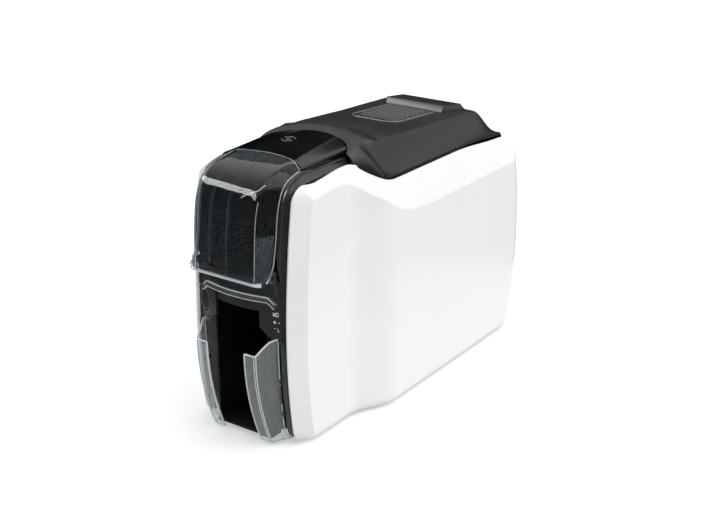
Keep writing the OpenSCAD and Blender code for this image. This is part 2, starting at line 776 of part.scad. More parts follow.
function cap_row(s, inset) =
    let (
        pts = [for (p = cap_profile(s))
            let (
                x = p[0] * cap_half,
                y0 = cap_y0 + gap - cap_arch * pow(p[0], 2) + inset,
                y1 = lid_y0 - seam - lid_arch * pow(x / 45, 2) - inset,
                y = mix(y0, y1, s)
            ) [x - inset * clamp01(p[0] * 8 - 7), y, cap_top(y) + p[1] - inset * clamp01((p[1] + 11) / 2)]]
    ) concat(
        [for (i = [len(pts) - 1:-1:1]) [-pts[i][0], pts[i][1], pts[i][2]]],
        pts
    );

module hopper_cap() {
    color([0.03, 0.03, 0.035]) sheet(
        [for (k = [0:cap_nu]) each cap_row(k / cap_nu, 0)],
        [for (k = [0:cap_nu]) each cap_row(k / cap_nu, wall - 0.5)],
        cap_nu, 2 * len(cap_profile(0)) - 2, true
    );
}

// Lid: an arched collar at the front, a wide flat top with the latch and a wedge behind it, hollow
// sides and a rear slope
lid_ridge = [
    [-50, -3.6], [-44, -0.9], [-36, 0], [-28, -1.2], [-20, -4], [-8, -4.3], [6, -5.4], [33, -7.6],
    [49, -9], [77, -10.6], [104, -12.2], [133, -14.2], [140, -17.6], [147, -23], [153.5, -28.8],
    [161, -36], [168.5, -46]
];
lid_ref_y = -50;
lid_ref_y1 = 168.5;
lid_keep = [6, 133];
lid_flat_x = 50;
lid_crown = [2.6, 0.8];
lid_nu = 34;
lid_edge_gap = 2;

// The ridge's front keeps its distance from the lid's front edge, and its rear slope from the rear one
function ridge_y(y) =
    let (a = lid_y0 - lid_ref_y + lid_keep[0], b = lid_y1 - lid_ref_y1 + lid_keep[1])
        y < a ? lid_keep[0] + y - a : y > b ? lid_keep[1] + y - b : mix(lid_keep[0], lid_keep[1], (y - a) / (b - a));

function lid_top(y) = body_h + lookup(ridge_y(y), lid_ridge);
function lid_edge_x(y) = side_x(y) - edge_in(y) - wall - lid_edge_gap;

// How far the arched front of the lid reaches forward at a distance x from the middle
function arch_reach(x) = lid_arch * min(pow(x / 45, 2), 1.12);

function lid_crown_at(y) = mix(lid_crown[0], lid_crown[1], clamp01((y - lid_y0 - 42) / 140));

// Half of the lid's section at a depth y: f runs from the middle to the edge, which lies at the
// depth ye of the covers
function lid_half(y, ye, f) =
    let (
        xe = lid_edge_x(ye),
        zt = lid_top(y),
        ze = min(top_z(ye) + 1.6, zt - 1),
        arch = 1 - ease((y - lid_y0 - 10) / 18),
        xp = min(lid_flat_x, xe - 9),
        zp = max(zt - lid_crown_at(y), ze),
        xa = f < 0.9 ? xe * f / 0.9 : xe,
        za = ze + (zt - ze) * pow(max(1 - pow(xa / xe, 4.5), 0), 0.5),
        t = clamp01((f - 0.6) / 0.3),
        xb = f < 0.6 ? xp * f / 0.6 : mix(xp, xe, t),
        zb = f < 0.6 ? zt + (zp - zt) * pow(f / 0.6, 2.5) : ze + (zp - ze) * pow(1 - t, 1.7)
    ) [mix(xb, xa, arch), f > 0.95 ? min(ze, zt) - 2.4 : mix(zb, za, arch)];

lid_f = [0, 0.2, 0.36, 0.48, 0.56, 0.6, 0.645, 0.7, 0.76, 0.83, 0.9, 1];

function lid_row(s, inset) =
    let (
        pts = [for (f = lid_f)
            let (
                yc = mix(lid_y0, lid_y1, s),
                reach = arch_reach(lid_edge_x(yc - 26) * f / 0.9) * pow(1 - s, 3),
                p = lid_half(yc, yc - reach, f),
                y = mix(lid_y0 + inset, lid_y1 - inset, s) - reach
            ) [p[0] - inset * clamp01(f * 7 - 3.2), y, p[1] - (f > 0.95 ? 0 : inset * (1.25 - 0.5 * f))]]
    ) concat(
        [for (i = [len(pts) - 1:-1:1]) [-pts[i][0], pts[i][1], pts[i][2]]],
        pts
    );

// Rows of the lid lie closer together at the collar and at the rear slope
function lid_s(k) = let (t = k / lid_nu) t + 0.1 * sin(360 * t) * -0.9;

// Pocket under the latch: walls and a floor that also carries the print head's bracket
pocket_t = 1.8;
pocket_x = latch_half + 7;
pocket_z0 = latch_back_z - 11.6;

// The plate's front edge moves forward a little as it is pressed down
latch_hole_y0 = latch_y0 - gap - 0.9;

module latch_pocket() {
    y0 = latch_hole_y0 - pocket_t;
    y1 = latch_y1 + gap + pocket_t;
    block(-pocket_x, pocket_x, y0, y1, pocket_z0, pocket_z0 + pocket_t);
    for (s = [0, 1]) mirror([s, 0, 0])
        along_x(pocket_x - pocket_t, pocket_x)
            polygon([[y0, pocket_z0], [y1, pocket_z0], [y1, lid_under(y1)], [y0, lid_under(y0)]]);
    for (y = [y0, y1 - pocket_t])
        block(-pocket_x, pocket_x, y, y + pocket_t, pocket_z0, lid_under(y + pocket_t));
}

// Wedge behind the latch, with upright sides that spread towards the back
riser_half = 34;
riser_foot = [33, 40];
riser_y = [latch_y1 + 1, latch_y1 + 7, latch_y1 + 37, latch_y1 + 44];
riser_z = [body_h - 6.5, body_h - 10.2];

module riser() {
    low = [lid_top(riser_y[0]) - 1.6, lid_top(riser_y[3]) - 2];
    polyhedron(
        points = [
            [-riser_foot[0], riser_y[0], low[0]], [riser_foot[0], riser_y[0], low[0]],
            [riser_foot[1], riser_y[3], low[1]], [-riser_foot[1], riser_y[3], low[1]],
            [-riser_half, riser_y[1], riser_z[0]], [riser_half, riser_y[1], riser_z[0]],
            [riser_half, riser_y[2], riser_z[1]], [-riser_half, riser_y[2], riser_z[1]]
        ],
        faces = [[0, 1, 2], [0, 2, 3], [4, 6, 5], [4, 7, 6], [0, 5, 1], [0, 4, 5], [1, 5, 6], [1, 6, 2],
                 [2, 6, 7], [2, 7, 3], [3, 7, 4], [3, 4, 0]]
    );
}

module top_lid() {
    color([0.1, 0.1, 0.105]) {
        difference() {
            sheet(
                [for (k = [0:lid_nu]) each lid_row(lid_s(k), 0)],
                [for (k = [0:lid_nu]) each lid_row(lid_s(k), wall)],
                lid_nu, 2 * len(lid_f) - 2, true
            );
            block(-latch_half - gap, latch_half + gap, latch_hole_y0, latch_y1 + gap, pocket_z0, body_h + 1);
        }
        latch_pocket();
        riser();
    }
}

// Latch: a ribbed plate with rounded front corners, on a shaft at its back edge
rib_count = 6;
latch_round = 12;

function latch_face(y) = mix(latch_front_z, latch_back_z, (y - latch_y0) / (latch_y1 - latch_y0));

module latch_plan(inset) {
    r = latch_round - inset;
    hull() {
        for (s = [-1, 1]) translate([s * (latch_half - inset - r), latch_y0 + inset + r]) circle(r);
        translate([-latch_half + inset, latch_y1 - 2 - inset]) square([2 * (latch_half - inset), 2]);
    }
}

module lid_latch() {
    rib_y = [for (i = [0:rib_count - 1]) latch_y0 + 14 + i * 9];
    color([0.14, 0.145, 0.15]) {
        intersection() {
            along_x(-latch_half, latch_half) polygon([
                [latch_y0, latch_front_z - 2.2], [latch_y1, latch_back_z - 2.2],
                [latch_y1, latch_back_z], [latch_y0, latch_front_z]
            ]);
            linear_extrude(height = body_h) latch_plan(0);
        }
        intersection() {
            for (y = rib_y)
                block(-latch_half, latch_half, y, y + 2.4, latch_face(y) - 0.6, latch_face(y) + 1);
            linear_extrude(height = body_h) latch_plan(3);
        }
        for (s = [-1, 1])
            block(s * 17 - 2, s * 17 + 2, latch_pivot[0] - 3, latch_pivot[0] + 3, latch_pivot[1] - 1, latch_back_z - 1.6);
        rod(latch_pivot, -latch_half - 3, latch_half + 3, latch_pin_r);
    }
}

// Hooks on a cross shaft inside the collar, behind the catch bar
module latch_hooks() {
    reach = hook_pivot[1] - catch_at[1];
    behind = catch_at[0] + bar_r + gap - hook_pivot[0];
    color([0.75, 0.76, 0.78]) {
        rod(hook_pivot, -latch_half - 9, latch_half + 9, latch_pin_r + 0.5);
        for (s = [-1, 1])
            along_x(s * 22 - 2, s * 22 + 2) translate(hook_pivot) polygon([
                [-3.5, 3], [3.5, 3], [1, -reach + 4], [behind + 3, -reach - 2.5], [behind + 1, -reach - 2.5],
                [behind, -reach - 1], [behind, -reach + 1.5], [-2, -reach + 6]
            ]);
    }
}

// Bearings of the latch and of the hook shaft under the lid
function lid_under(y) = lid_top(y) - wall * 1.32;

module bearing(at, x0, r, drop = 0) {
    for (s = [0, 1]) mirror([s, 0, 0]) difference() {
        along_x(x0, x0 + 3) polygon([
            [at[0] - r - 2, at[1] - r - 2], [at[0] + r + 2, at[1] - r - 2],
            [at[0] + r + 2, lid_under(at[0] + r + 2) - drop], [at[0] - r - 2, lid_under(at[0] - r - 2) - drop]
        ]);
        rod(at, x0 - 1, x0 + 4, r + run_fit);
    }
}

module latch_bearings() {
    color([0.1, 0.1, 0.105]) {
        bearing(latch_pivot, latch_half + 0.8, latch_pin_r);
        bearing(hook_pivot, latch_half + 4, latch_pin_r + 0.5, 1.4);
    }
}

// Hinge: knuckles on the lid, a pin through them and the ears of the chassis plates
knuckle_w = 16;
knuckle_x = [[-hinge_half, knuckle_w - hinge_half], [hinge_half - knuckle_w, hinge_half]];

module lid_knuckles() {
    y0 = hinge_at[0] - 10;
    y1 = hinge_at[0] + 1.5;
    color([0.1, 0.1, 0.105]) for (k = knuckle_x) difference() {
        union() {
            rod(hinge_at, k[0], k[1], hinge_r + 2.4);
            along_x(k[0], k[1]) polygon([
                [y0, hinge_at[1] + 2], [y1, hinge_at[1]], [y1, lid_under(y1 + 2.4)],
                [mix(y0, y1, 0.5), lid_under(mix(y0, y1, 0.5) + 2.4)], [y0, lid_under(y0 + 2.4)]
            ]);
        }
        rod(hinge_at, k[0] - 1, k[1] + 1, hinge_r + run_fit);
    }
}

module hinge_pin() {
    color("silver") rod(hinge_at, -plate_x - plate_t - 1.5, plate_x + plate_t + 1.5, hinge_r);
}

// Rear panel between the covers, with vents and the cut-outs of the connectors
rear_inset = 4;
port_z = [44, 74, 98];
inlet_w = 13;
inlet_h = 10;
usb_w = 12;
usb_h = 11;
net_w = 16;
net_h = 13;
port_x = board_x + 12;

function rear_half(y, z) = cover_x(y + wall, y_back, z) - wall - 2 * gap;

function rear_line(inset) = [for (i = [0:14])
    let (z = mix(floor_z, deck_z - rear_droop - 5, i / 14))
    [max(back_y(z) - rear_inset - corner(top_z(y_back) - z, back_round) - corner(z - cover_z0, front_round),
         z > bow_z ? lid_y1 + 5.4 : 0) - inset, z]];

module port_hole(z, w, h) {
    block(board_x + board_t - 0.3, port_x + w / 2 + 0.3, y_back - 40, y_back + 5, z - h / 2 - 0.3, z + h / 2 + 0.3);
}

module rear_panel() {
    outer = rear_line(0);
    inner = rear_line(wall);
    color([0.08, 0.08, 0.085]) difference() {
        intersection() {
            along_x(-half_w, half_w) polygon(concat(outer, [for (i = [len(inner) - 1:-1:0]) inner[i]]));
            along_y(lid_y1 - 40, y_back) polygon(concat(
                [for (p = outer) [rear_half(p[0], p[1]), p[1]]],
                [for (i = [len(outer) - 1:-1:0]) [-rear_half(outer[i][0], outer[i][1]), outer[i][1]]]
            ));
        }
        port_hole(port_z[0], inlet_w, inlet_h);
        port_hole(port_z[1], usb_w, usb_h);
        port_hole(port_z[2], net_w, net_h);
        for (i = [0:9])
            block(-24, 56, y_back - 30, y_back + 5, 116 + i * 7, 119 + i * 7);
        translate([40, 0, 26]) block(-3.5, 3.5, y_back - 40, y_back + 5, -1.5, 1.5);
    }
}

// Connectors on the board's back edge
module socket(z, w, h, depth) {
    y1 = back_y(z) - rear_inset - 0.4;
    difference() {
        block(board_x + board_t, port_x + w / 2, y1 - depth - 3, y1, z - h / 2, z + h / 2);
        block(port_x - w / 2 + 1.5, port_x + w / 2 - 1.5, y1 - depth, y1 + 1, z - h / 2 + 1.5, z + h / 2 - 1.5);
    }
}

module power_inlet() {
    color([0.12, 0.12, 0.12]) socket(port_z[0], inlet_w, inlet_h, 9);
    y1 = back_y(port_z[0]) - rear_inset - 0.4;
    color("gold") for (s = [-1, 1])
        block(port_x + s * 2.5 - 0.5, port_x + s * 2.5 + 0.5, y1 - 9, y1 - 5, port_z[0] - 1.5, port_z[0] + 1.5);
}

module data_ports() {
    color("silver") {
        socket(port_z[1], usb_w, usb_h, 9);
        socket(port_z[2], net_w, net_h, 11);
    }
}

// Chassis plates: one outline, with the bores of the shafts and the studs of the idlers
plate_y0 = face_y + 22;
plate_y1 = y_back - 29;
plate_step_z = path_z + 20;
plate_top = path_z + 54;

function shafts() = [
    [feed_at, shaft_r], [front_at, shaft_r], [platen_at, shaft_r], [pick_at, shaft_r], [exit_at, shaft_r],
    [feed_pinch_at, pinch_shaft_r], [front_pinch_at, pinch_shaft_r], [exit_pinch_at, pinch_shaft_r]
];

gate_at = [front_at[0] - 14, path_z - 8];
gate_r = 2;
tie_places = [
    [face_y + 27, path_z - 19], [face_y + 80, 30], [face_y + 150, 60], [face_y + 150, 110],
    [y_back - 51, 60], [y_back - 51, 170], [catch_at[0], catch_at[1]]
];

module plate_outline() {
    polygon([
        [plate_y0, floor_z], [plate_y1, floor_z], [plate_y1, hinge_at[1] - 16],
        [hinge_at[0] + 4.5, hinge_at[1] - 7], [hinge_at[0] + 5, hinge_at[1]],
        [hinge_at[0] + 3.5, hinge_at[1] + 4], [hinge_at[0] - 3.5, hinge_at[1] + 4],
        [hinge_at[0] - 5.5, hinge_at[1]], [hinge_at[0] - 14, hinge_at[1] - 8],
        [hinge_at[0] - 29.5, hinge_at[1] - 8], [hinge_at[0] - 35.5, plate_top - 4],
        [catch_at[0] + 8, plate_top - 4], [catch_at[0] - 10, plate_top - 4],
        [feed_at[0] - 18, plate_step_z], [plate_y0, plate_step_z]
    ]);
}

module plate_holes() {
    for (s = shafts()) translate(s[0]) circle(r = s[1] + run_fit + bush_t);
    for (p = tie_places) translate(p) circle(r = bar_r - 1);
    translate(hinge_at) circle(r = hinge_r + run_fit);
    translate(gate_at) circle(r = gate_r + run_fit);
    for (y = [supply_at, takeup_at])
        translate([y[0] - spool_pin_r - 0.5, y[1] - spool_pin_r - 0.5])
            square([2 * spool_pin_r + 1, plate_top]);
    for (y = [0:3]) translate([base_y0 + 100 + 44 * y, 24]) square([20, 22]);
}

module chassis_plate(studs) {
    x1 = plate_x + plate_t;
    difference() {
        union() {
            along_x(plate_x, x1) plate_outline();
            for (p = studs) {
                rod(p, x1 - 0.5, gear_x1 + 1.2, stud_r);
                rod(p, x1 - 0.5, gear_x0 - gap, stud_r + 1.5);
            }
            for (y = [plate_y0 + 8, mix(plate_y0, plate_y1, 0.5), plate_y1 - 20])
                block(x1 - 0.2, x1 + 11, y, y + 12, floor_z, floor_z + plate_t);
        }
        along_x(plate_x - 1, x1 + 0.1) plate_holes();
    }
}

module chassis_plate_right() {
    color("silver") difference() {
        chassis_plate([motor_idler_at, front_idler_at, feed_idler_at, pick_idler_at]);
        rod(motor_at, plate_x - 1, plate_x + plate_t + 1, 11.2);
    }
}

module chassis_plate_left() {
    color("silver") mirror([1, 0, 0]) difference() {
        chassis_plate([exit_idler_at]);
        rod(takeup_at, plate_x - 1, plate_x + plate_t + 1, hub_r);
        rod(ribbon_pinion_at, plate_x - 1, plate_x + plate_t + 1, 3);
    }
}

module tie_bars() {
    color("silver") for (p = tie_places) {
        rod(p, -plate_x, plate_x, bar_r);
        rod(p, -plate_x - plate_t - 2, plate_x + plate_t + 2, bar_r - 1.2);
    }
}

module shaft_bushes() {
    color([0.72, 0.5, 0.25]) for (s = shafts(), side = [-1, 1])
        difference() {
            rod(s[0], side > 0 ? plate_x - 0.8 : -plate_x - plate_t, side > 0 ? plate_x + plate_t : -plate_x + 0.8,
                s[1] + run_fit + bush_t - 0.02);
            rod(s[0], -plate_x - plate_t - 1, plate_x + plate_t + 1, s[1] + run_fit);
        }
}

// Gears: involute teeth, with the phase that puts each pair in mesh
function pitch_r(teeth) = gear_m * teeth / 2;
function inv(a) = tan(a) * 180 / PI - a;

// Half angle of a tooth at a radius r
function tooth_half(teeth, r) =
    let (
        rp = pitch_r(teeth),
        rb = rp * cos(pressure),
        at_pitch = 90 / teeth - backlash / 2 / rp * 90 / PI,
        a = r <= rb ? 0 : acos(rb / r)
    ) at_pitch + inv(pressure) - inv(a);

function gear_outline(teeth, phase) =
    let (
        rp = pitch_r(teeth),
        root = rp - 1.25 * gear_m,
        tip = rp + 0.95 * gear_m,
        base = max(rp * cos(pressure), root + 0.2),
        rs = [base, (base + rp) / 2, rp + 0.25 * gear_m, tip]
    ) [for (i = [0:teeth - 1])
        let (c = phase + i * 360 / teeth)
        each concat(
            [polar([0, 0], root, c - tooth_half(teeth, base) - 0.5)],
            [for (r = rs) polar([0, 0], r, c - tooth_half(teeth, r))],
            [for (j = [3:-1:0]) polar([0, 0], rs[j], c + tooth_half(teeth, rs[j]))],
            [polar([0, 0], root, c + tooth_half(teeth, base) + 0.5)]
        )];

// Phase of a gear at b that meshes with a gear at a of known phase
function meshed(a, teeth_a, phase_a, b, teeth_b) =
    let (
        line = atan2(b[1] - a[1], b[0] - a[0]),
        fa = (line - phase_a) * teeth_a / 360
    ) line + 180 - (0.5 - fa) * 360 / teeth_b;

platen_phase = 0;
motor_idler_phase = meshed(platen_at, roller_teeth, platen_phase, motor_idler_at, wide_teeth);
pinion_phase = meshed(motor_idler_at, wide_teeth, motor_idler_phase, motor_at, pinion_teeth);
front_idler_phase = meshed(platen_at, roller_teeth, platen_phase, front_idler_at, front_teeth);
front_phase = meshed(front_idler_at, front_teeth, front_idler_phase, front_at, roller_teeth);
feed_idler_phase = meshed(front_at, roller_teeth, front_phase, feed_idler_at, small_teeth);
feed_phase = meshed(feed_idler_at, small_teeth, feed_idler_phase, feed_at, roller_teeth);
pick_idler_phase = meshed(feed_at, roller_teeth, feed_phase, pick_idler_at, small_teeth);
pick_phase = meshed(pick_idler_at, small_teeth, pick_idler_phase, pick_at, roller_teeth);
exit_idler_phase = meshed(feed_at, roller_teeth, feed_phase, exit_idler_at, exit_teeth);
exit_phase = meshed(exit_idler_at, exit_teeth, exit_idler_phase, exit_at, roller_teeth);
ribbon_phase = 0;
ribbon_pinion_phase = meshed(takeup_at, ribbon_teeth, ribbon_phase, ribbon_pinion_at, pinion_teeth);

module gear(at, teeth, phase, x0 = gear_x0) {
    along_x(x0, x0 + gear_w) translate(at) polygon(gear_outline(teeth, phase));
}

module idler(at, teeth, phase, x0 = gear_x0) {
    color([0.88, 0.86, 0.8]) difference() {
        gear(at, teeth, phase, x0);
        rod(at, x0 - 1, x0 + gear_w + 1, stud_r + run_fit);
        for (k = [0:4])
            rod(polar(at, pitch_r(teeth) * 0.55, 72 * k), x0 - 1, x0 + gear_w + 1, pitch_r(teeth) * 0.18);
    }
}

// Rollers: a steel shaft with rubber tyres and its gear
module roller(at, r, tyres, x_low, phase) {
    color([0.75, 0.76, 0.78]) rod(at, x_low, gear_x1 + 0.5, shaft_r);
    color([0.15, 0.15, 0.16]) for (t = tyres) rod(at, t[0], t[1], r);
    color([0.88, 0.86, 0.8]) gear(at, roller_teeth, phase);
}

shaft_low = -plate_x - plate_t - 1;
pair_tyres = [[-window_x[1], -window_x[0]], [window_x[0], window_x[1]]];

module pick_roller() {
    roller(pick_at, platen_r, pair_tyres, shaft_low, pick_phase);
}

module feed_roller() {
    roller(feed_at, roller_r, pair_tyres, -gear_x1 - 0.5, feed_phase);
    color([0.88, 0.86, 0.8]) gear(feed_at, roller_teeth, feed_phase, -gear_x1);
}

module front_roller() {
    roller(front_at, roller_r, [[-tyre_half, tyre_half]], shaft_low, front_phase);
}

module platen_roller() {
    roller(platen_at, platen_r, [[-head_len / 2, head_len / 2]], shaft_low, platen_phase);
}

module exit_roller() {
    color([0.75, 0.76, 0.78]) rod(exit_at, -gear_x1 - 0.5, plate_x + plate_t + 1, shaft_r);
    color([0.15, 0.15, 0.16]) for (t = pair_tyres) rod(exit_at, t[0], t[1], roller_r);
    color([0.88, 0.86, 0.8]) gear(exit_at, roller_teeth, exit_phase, -gear_x1);
}

module pinch(at) {
    color([0.75, 0.76, 0.78]) rod(at, -plate_x - plate_t - 1, plate_x + plate_t + 1, pinch_shaft_r);
    color([0.3, 0.3, 0.32]) for (t = pair_tyres) rod(at, t[0], t[1], pinch_r);
}

module feed_pinch() {
    pinch(feed_pinch_at);
}

module front_pinch() {
    pinch(front_pinch_at);
}

module exit_pinch() {
    pinch(exit_pinch_at);
}

module motor_idler() {
    idler(motor_idler_at, wide_teeth, motor_idler_phase);
}

module front_idler() {
    idler(front_idler_at, front_teeth, front_idler_phase);
}

module feed_idler() {
    idler(feed_idler_at, small_teeth, feed_idler_phase);
}

module pick_idler() {
    idler(pick_idler_at, small_teeth, pick_idler_phase);
}

module exit_idler() {
    idler(exit_idler_at, exit_teeth, exit_idler_phase, -gear_x1);
}

// Drive motor inside the right plate, its pinion outside
motor_len = 34;
pinion_shaft_r = 2.5;

module drive_motor() {
    x1 = plate_x - 0.1;
    color([0.2, 0.2, 0.21]) difference() {
        union() {
            block(x1 - motor_len, x1, motor_at[0] - motor_side / 2, motor_at[0] + motor_side / 2,
                  motor_at[1] - motor_side / 2, motor_at[1] + motor_side / 2);
            rod(motor_at, x1 - 0.1, x1 + plate_t, 11);
        }
        rod(motor_at, x1 - 12, x1 + plate_t + 1, pinion_shaft_r + run_fit);
    }
}

module motor_pinion() {
    color([0.8, 0.65, 0.3]) gear(motor_at, pinion_teeth, pinion_phase);
    color("silver") rod(motor_at, plate_x - 10, gear_x1 + 1, pinion_shaft_r);
}

// Gate that turns the printed card down into the chute
gate_len = 9;

module gate_flap() {
    color([0.07, 0.07, 0.075]) {
        rod(gate_at, shaft_low, plate_x + plate_t + 1, gate_r);
        along_x(-card_half, card_half) polygon([
            [gate_at[0] - 1.5, gate_at[1]], [gate_at[0] + 1.5, gate_at[1] - 1.5],
            [gate_at[0] + gate_len, path_z - 1.6], [gate_at[0] + gate_len - 1, path_z - 0.9],
            [gate_at[0] - 3, path_z - 2.4]
        ]);
    }
}

// Card guides: flat stretches of the path between the rollers, and the chute down to the bin
guide_t = 1.6;

module guide_bed(y0, y1) {
    block(-plate_x + 0.1, plate_x - 0.1, y0, y1, path_z - guide_t - 0.2, path_z - 0.2);
    for (s = [-1, 1])
        block(s * (card_half + 1.4) - 1, s * (card_half + 1.4) + 1, y0, y1, path_z - 0.3, path_z + 2.2);
}

chute_from = [gate_at[0] - 7, path_z - 9];
chute_to = [exit_at[0] + 10, exit_z - 0.6];

module card_guides() {
    along = (chute_to - chute_from) / norm(chute_to - chute_from);
    side = [-along[1], along[0]];
    color([0.2, 0.2, 0.21]) {
        guide_bed(hopper_y1 + hopper_wall + 0.5, feed_at[0] - roller_r - 1);
        guide_bed(feed_at[0] + roller_r + 1, gate_at[0] - 5);
        guide_bed(front_at[0] + roller_r + 1, platen_at[0] - platen_r - 1);
        guide_bed(platen_at[0] + platen_r + 1, platen_at[0] + 74);
        along_x(-plate_x + 0.1, plate_x - 0.1) polygon([
            chute_from, chute_to, [chute_to[0] - 3, chute_to[1]], [chute_to[0] - 3, chute_to[1] - guide_t],
            chute_to + side * guide_t + [0, -0.6], chute_from + side * guide_t
        ]);
    }
}

// Ribbon cassette: two sides, guide bars under the ribbon's bends and a handle
module cassette_side() {
    difference() {
        union() {
            along_x(cassette_x, cassette_x + cassette_t) polygon([
                [supply_at[0] - 12, supply_at[1] - 8], [platen_at[0] - guide_reach - 4, path_z + 3.5],
                [platen_at[0] - guide_reach + 4, path_z + 3.5], [platen_at[0] - 10, path_z + 20],
                [platen_at[0] + 10, path_z + 20], [platen_at[0] + guide_reach - 4, path_z + 3.5],
                [platen_at[0] + guide_reach + 4, path_z + 3.5], [takeup_at[0] + 10, takeup_at[1] - 8],
                [takeup_at[0] + 10, takeup_at[1] + 10], [supply_at[0] - 12, supply_at[1] + 12]
            ]);
        }
        for (p = [supply_at, takeup_at]) rod(p, cassette_x - 1, cassette_x + cassette_t + 1, spool_pin_r + run_fit);
    }
}

guide_front = [platen_at[0] - guide_reach, path_z + 3.5 + guide_r];
guide_back = [platen_at[0] + guide_reach, path_z + 3.5 + guide_r];

module ribbon_cassette() {
    color([0.22, 0.42, 0.6]) {
        for (s = [0, 1]) mirror([s, 0, 0]) cassette_side();
        for (p = [guide_front, guide_back]) rod(p, -cassette_x - 0.2, cassette_x + 0.2, guide_r);
        rod([supply_at[0] - 24, supply_at[1]], -cassette_x - cassette_t, cassette_x + cassette_t, 3.5);
        for (s = [0, 1]) mirror([s, 0, 0])
            block(cassette_x, cassette_x + cassette_t, supply_at[0] - 24, supply_at[0] - 11, supply_at[1] - 3, supply_at[1] + 3);
    }
}

module spool(at, roll_r, pin_left) {
    color([0.9, 0.9, 0.88]) {
        rod(at, -spool_half, spool_half, core_r);
        rod(at, -pin_left, plate_x - 0.6, spool_pin_r);
    }
    color([0.06, 0.06, 0.1]) rod(at, -card_half, card_half, roll_r);
}

module supply_spool() {
    spool(supply_at, supply_r, plate_x - 0.6);
}

module takeup_spool() {
    spool(takeup_at, takeup_r, plate_x - 0.6);
}

// Ribbon between the rolls: down to the first guide, under the head and up again
function film_line(lift) = [
    [supply_at[0] + 4, supply_at[1] - supply_r - 1.2 + lift],
    [guide_front[0] - 2, guide_front[1] - guide_r - 0.5 + lift],
    [guide_front[0] + 3, film_z + lift],
    [guide_back[0] - 3, film_z + lift],
    [guide_back[0] + 2, guide_back[1] - guide_r - 0.5 + lift],
    [takeup_at[0] - 3, takeup_at[1] - takeup_r - 1.0 + lift]
];

module ribbon_film() {
    color([0.5, 0.1, 0.3]) along_x(-card_half + 1, card_half - 1)
        polygon(concat(film_line(0), [for (i = [5:-1:0]) film_line(film_t)[i]]));
}

// Ribbon drive on the left plate: motor, pinion, and the gear on the take-up's axis
ribbon_motor_r = 12;
ribbon_motor_room = 4.3;

module ribbon_motor() {
    p = ribbon_pinion_at;
    x1 = cover_x(p[0], p[0], p[1] + ribbon_motor_r) - wall - ribbon_motor_room;
    color([0.7, 0.7, 0.72]) {
        difference() {
            rod(p, -x1, -gear_x1 - 2, ribbon_motor_r);
            rod(p, -gear_x1 - 12, -gear_x1 - 1, 1.6);
        }
        block(-x1, -plate_x - plate_t, p[0] - 8, p[0] + 8, p[1] - 13.5, p[1] - 11);
    }
}

module ribbon_drive() {
    color([0.88, 0.86, 0.8]) {
        gear(takeup_at, ribbon_teeth, ribbon_phase, -gear_x1);
        rod(takeup_at, -gear_x0 - 0.5, -plate_x + 0.2, hub_r - run_fit);
    }
}

module ribbon_pinion() {
    color([0.8, 0.65, 0.3]) {
        gear(ribbon_pinion_at, pinion_teeth, ribbon_pinion_phase, -gear_x1);
        rod(ribbon_pinion_at, -gear_x1 - 10, -plate_x + 1, 1.5);
    }
}

// Print head under its bracket, both carried by the lid
bracket_half = card_half + 0.2;

module printhead_bracket() {
    y0 = platen_at[0] - head_d / 2;
    y1 = platen_at[0] + head_d / 2;
    z0 = head_z0 + head_h;
    color("silver") {
        block(-bracket_half, bracket_half, y0, y1, z0, z0 + 2);
        along_x(-bracket_half, bracket_half) polygon([
            [y1 - 2, z0], [y1, z0], [y1, pocket_z0 - 2], [y1 + 14, pocket_z0 - 2],
            [y1 + 14, pocket_z0], [y1 - 2, pocket_z0]
        ]);
        for (s = [0, 1]) mirror([s, 0, 0])
            along_x(bracket_half - 2, bracket_half)
                polygon([[y0, z0], [y1, z0], [y1, z0 + 50], [y1 - 3, z0 + 50], [y0, z0 + 12]]);
    }
}

module printhead() {
    y0 = platen_at[0] - head_d / 2;
    y1 = platen_at[0] + head_d / 2;
    color([0.55, 0.57, 0.6]) block(-head_len / 2 + 1, head_len / 2 - 1, y0, y1, head_z0 + 3, head_z0 + head_h);
    color([0.85, 0.82, 0.7]) block(-head_len / 2 + 1, head_len / 2 - 1, y0 + 2, y1 - 4, head_z0, head_z0 + 3);
}

// Main board with its parts, on standoffs of the left plate
module main_board() {
    color([0.05, 0.3, 0.16])
        block(board_x, board_x + board_t, board_y0, board_y1, board_z0, board_z1);
    color([0.08, 0.08, 0.08]) {
        block(board_x + board_t, board_x + board_t + 2, board_y0 + 20, board_y0 + 44, 60, 84);
        block(board_x + board_t, board_x + board_t + 1.6, board_y0 + 54, board_y0 + 66, 66, 80);
        block(board_x + board_t, board_x + board_t + 1.6, board_y0 + 24, board_y0 + 40, 36, 46);
    }
    color("white") for (i = [0:3])
        block(board_x + board_t, board_x + board_t + 6, board_y0 + 10 + i * 20, board_y0 + 22 + i * 20, 98, 104);
    color("silver") for (i = [0:2])
        rod([board_y0 + 88, 36 + 20 * i], board_x + board_t, board_x + board_t + 10, 4);
}

module board_standoffs() {
    color("gold") for (y = [board_y0 + 5, board_y1 - 22], z = [board_z0 + 5, board_z1 - 5])
        rod([y, z], board_x + board_t, -plate_x - plate_t, 2.8);
}

// Screws of the chassis flanges
module cover_screws() {
    color("silver") {
        for (y = [plate_y0 + 14, mix(plate_y0, plate_y1, 0.5) + 6, plate_y1 - 14], s = [-1, 1])
            translate([s * (plate_x + plate_t + 6), y, floor_z + plate_t]) cylinder(r = 3, h = 1.8);
    }
}

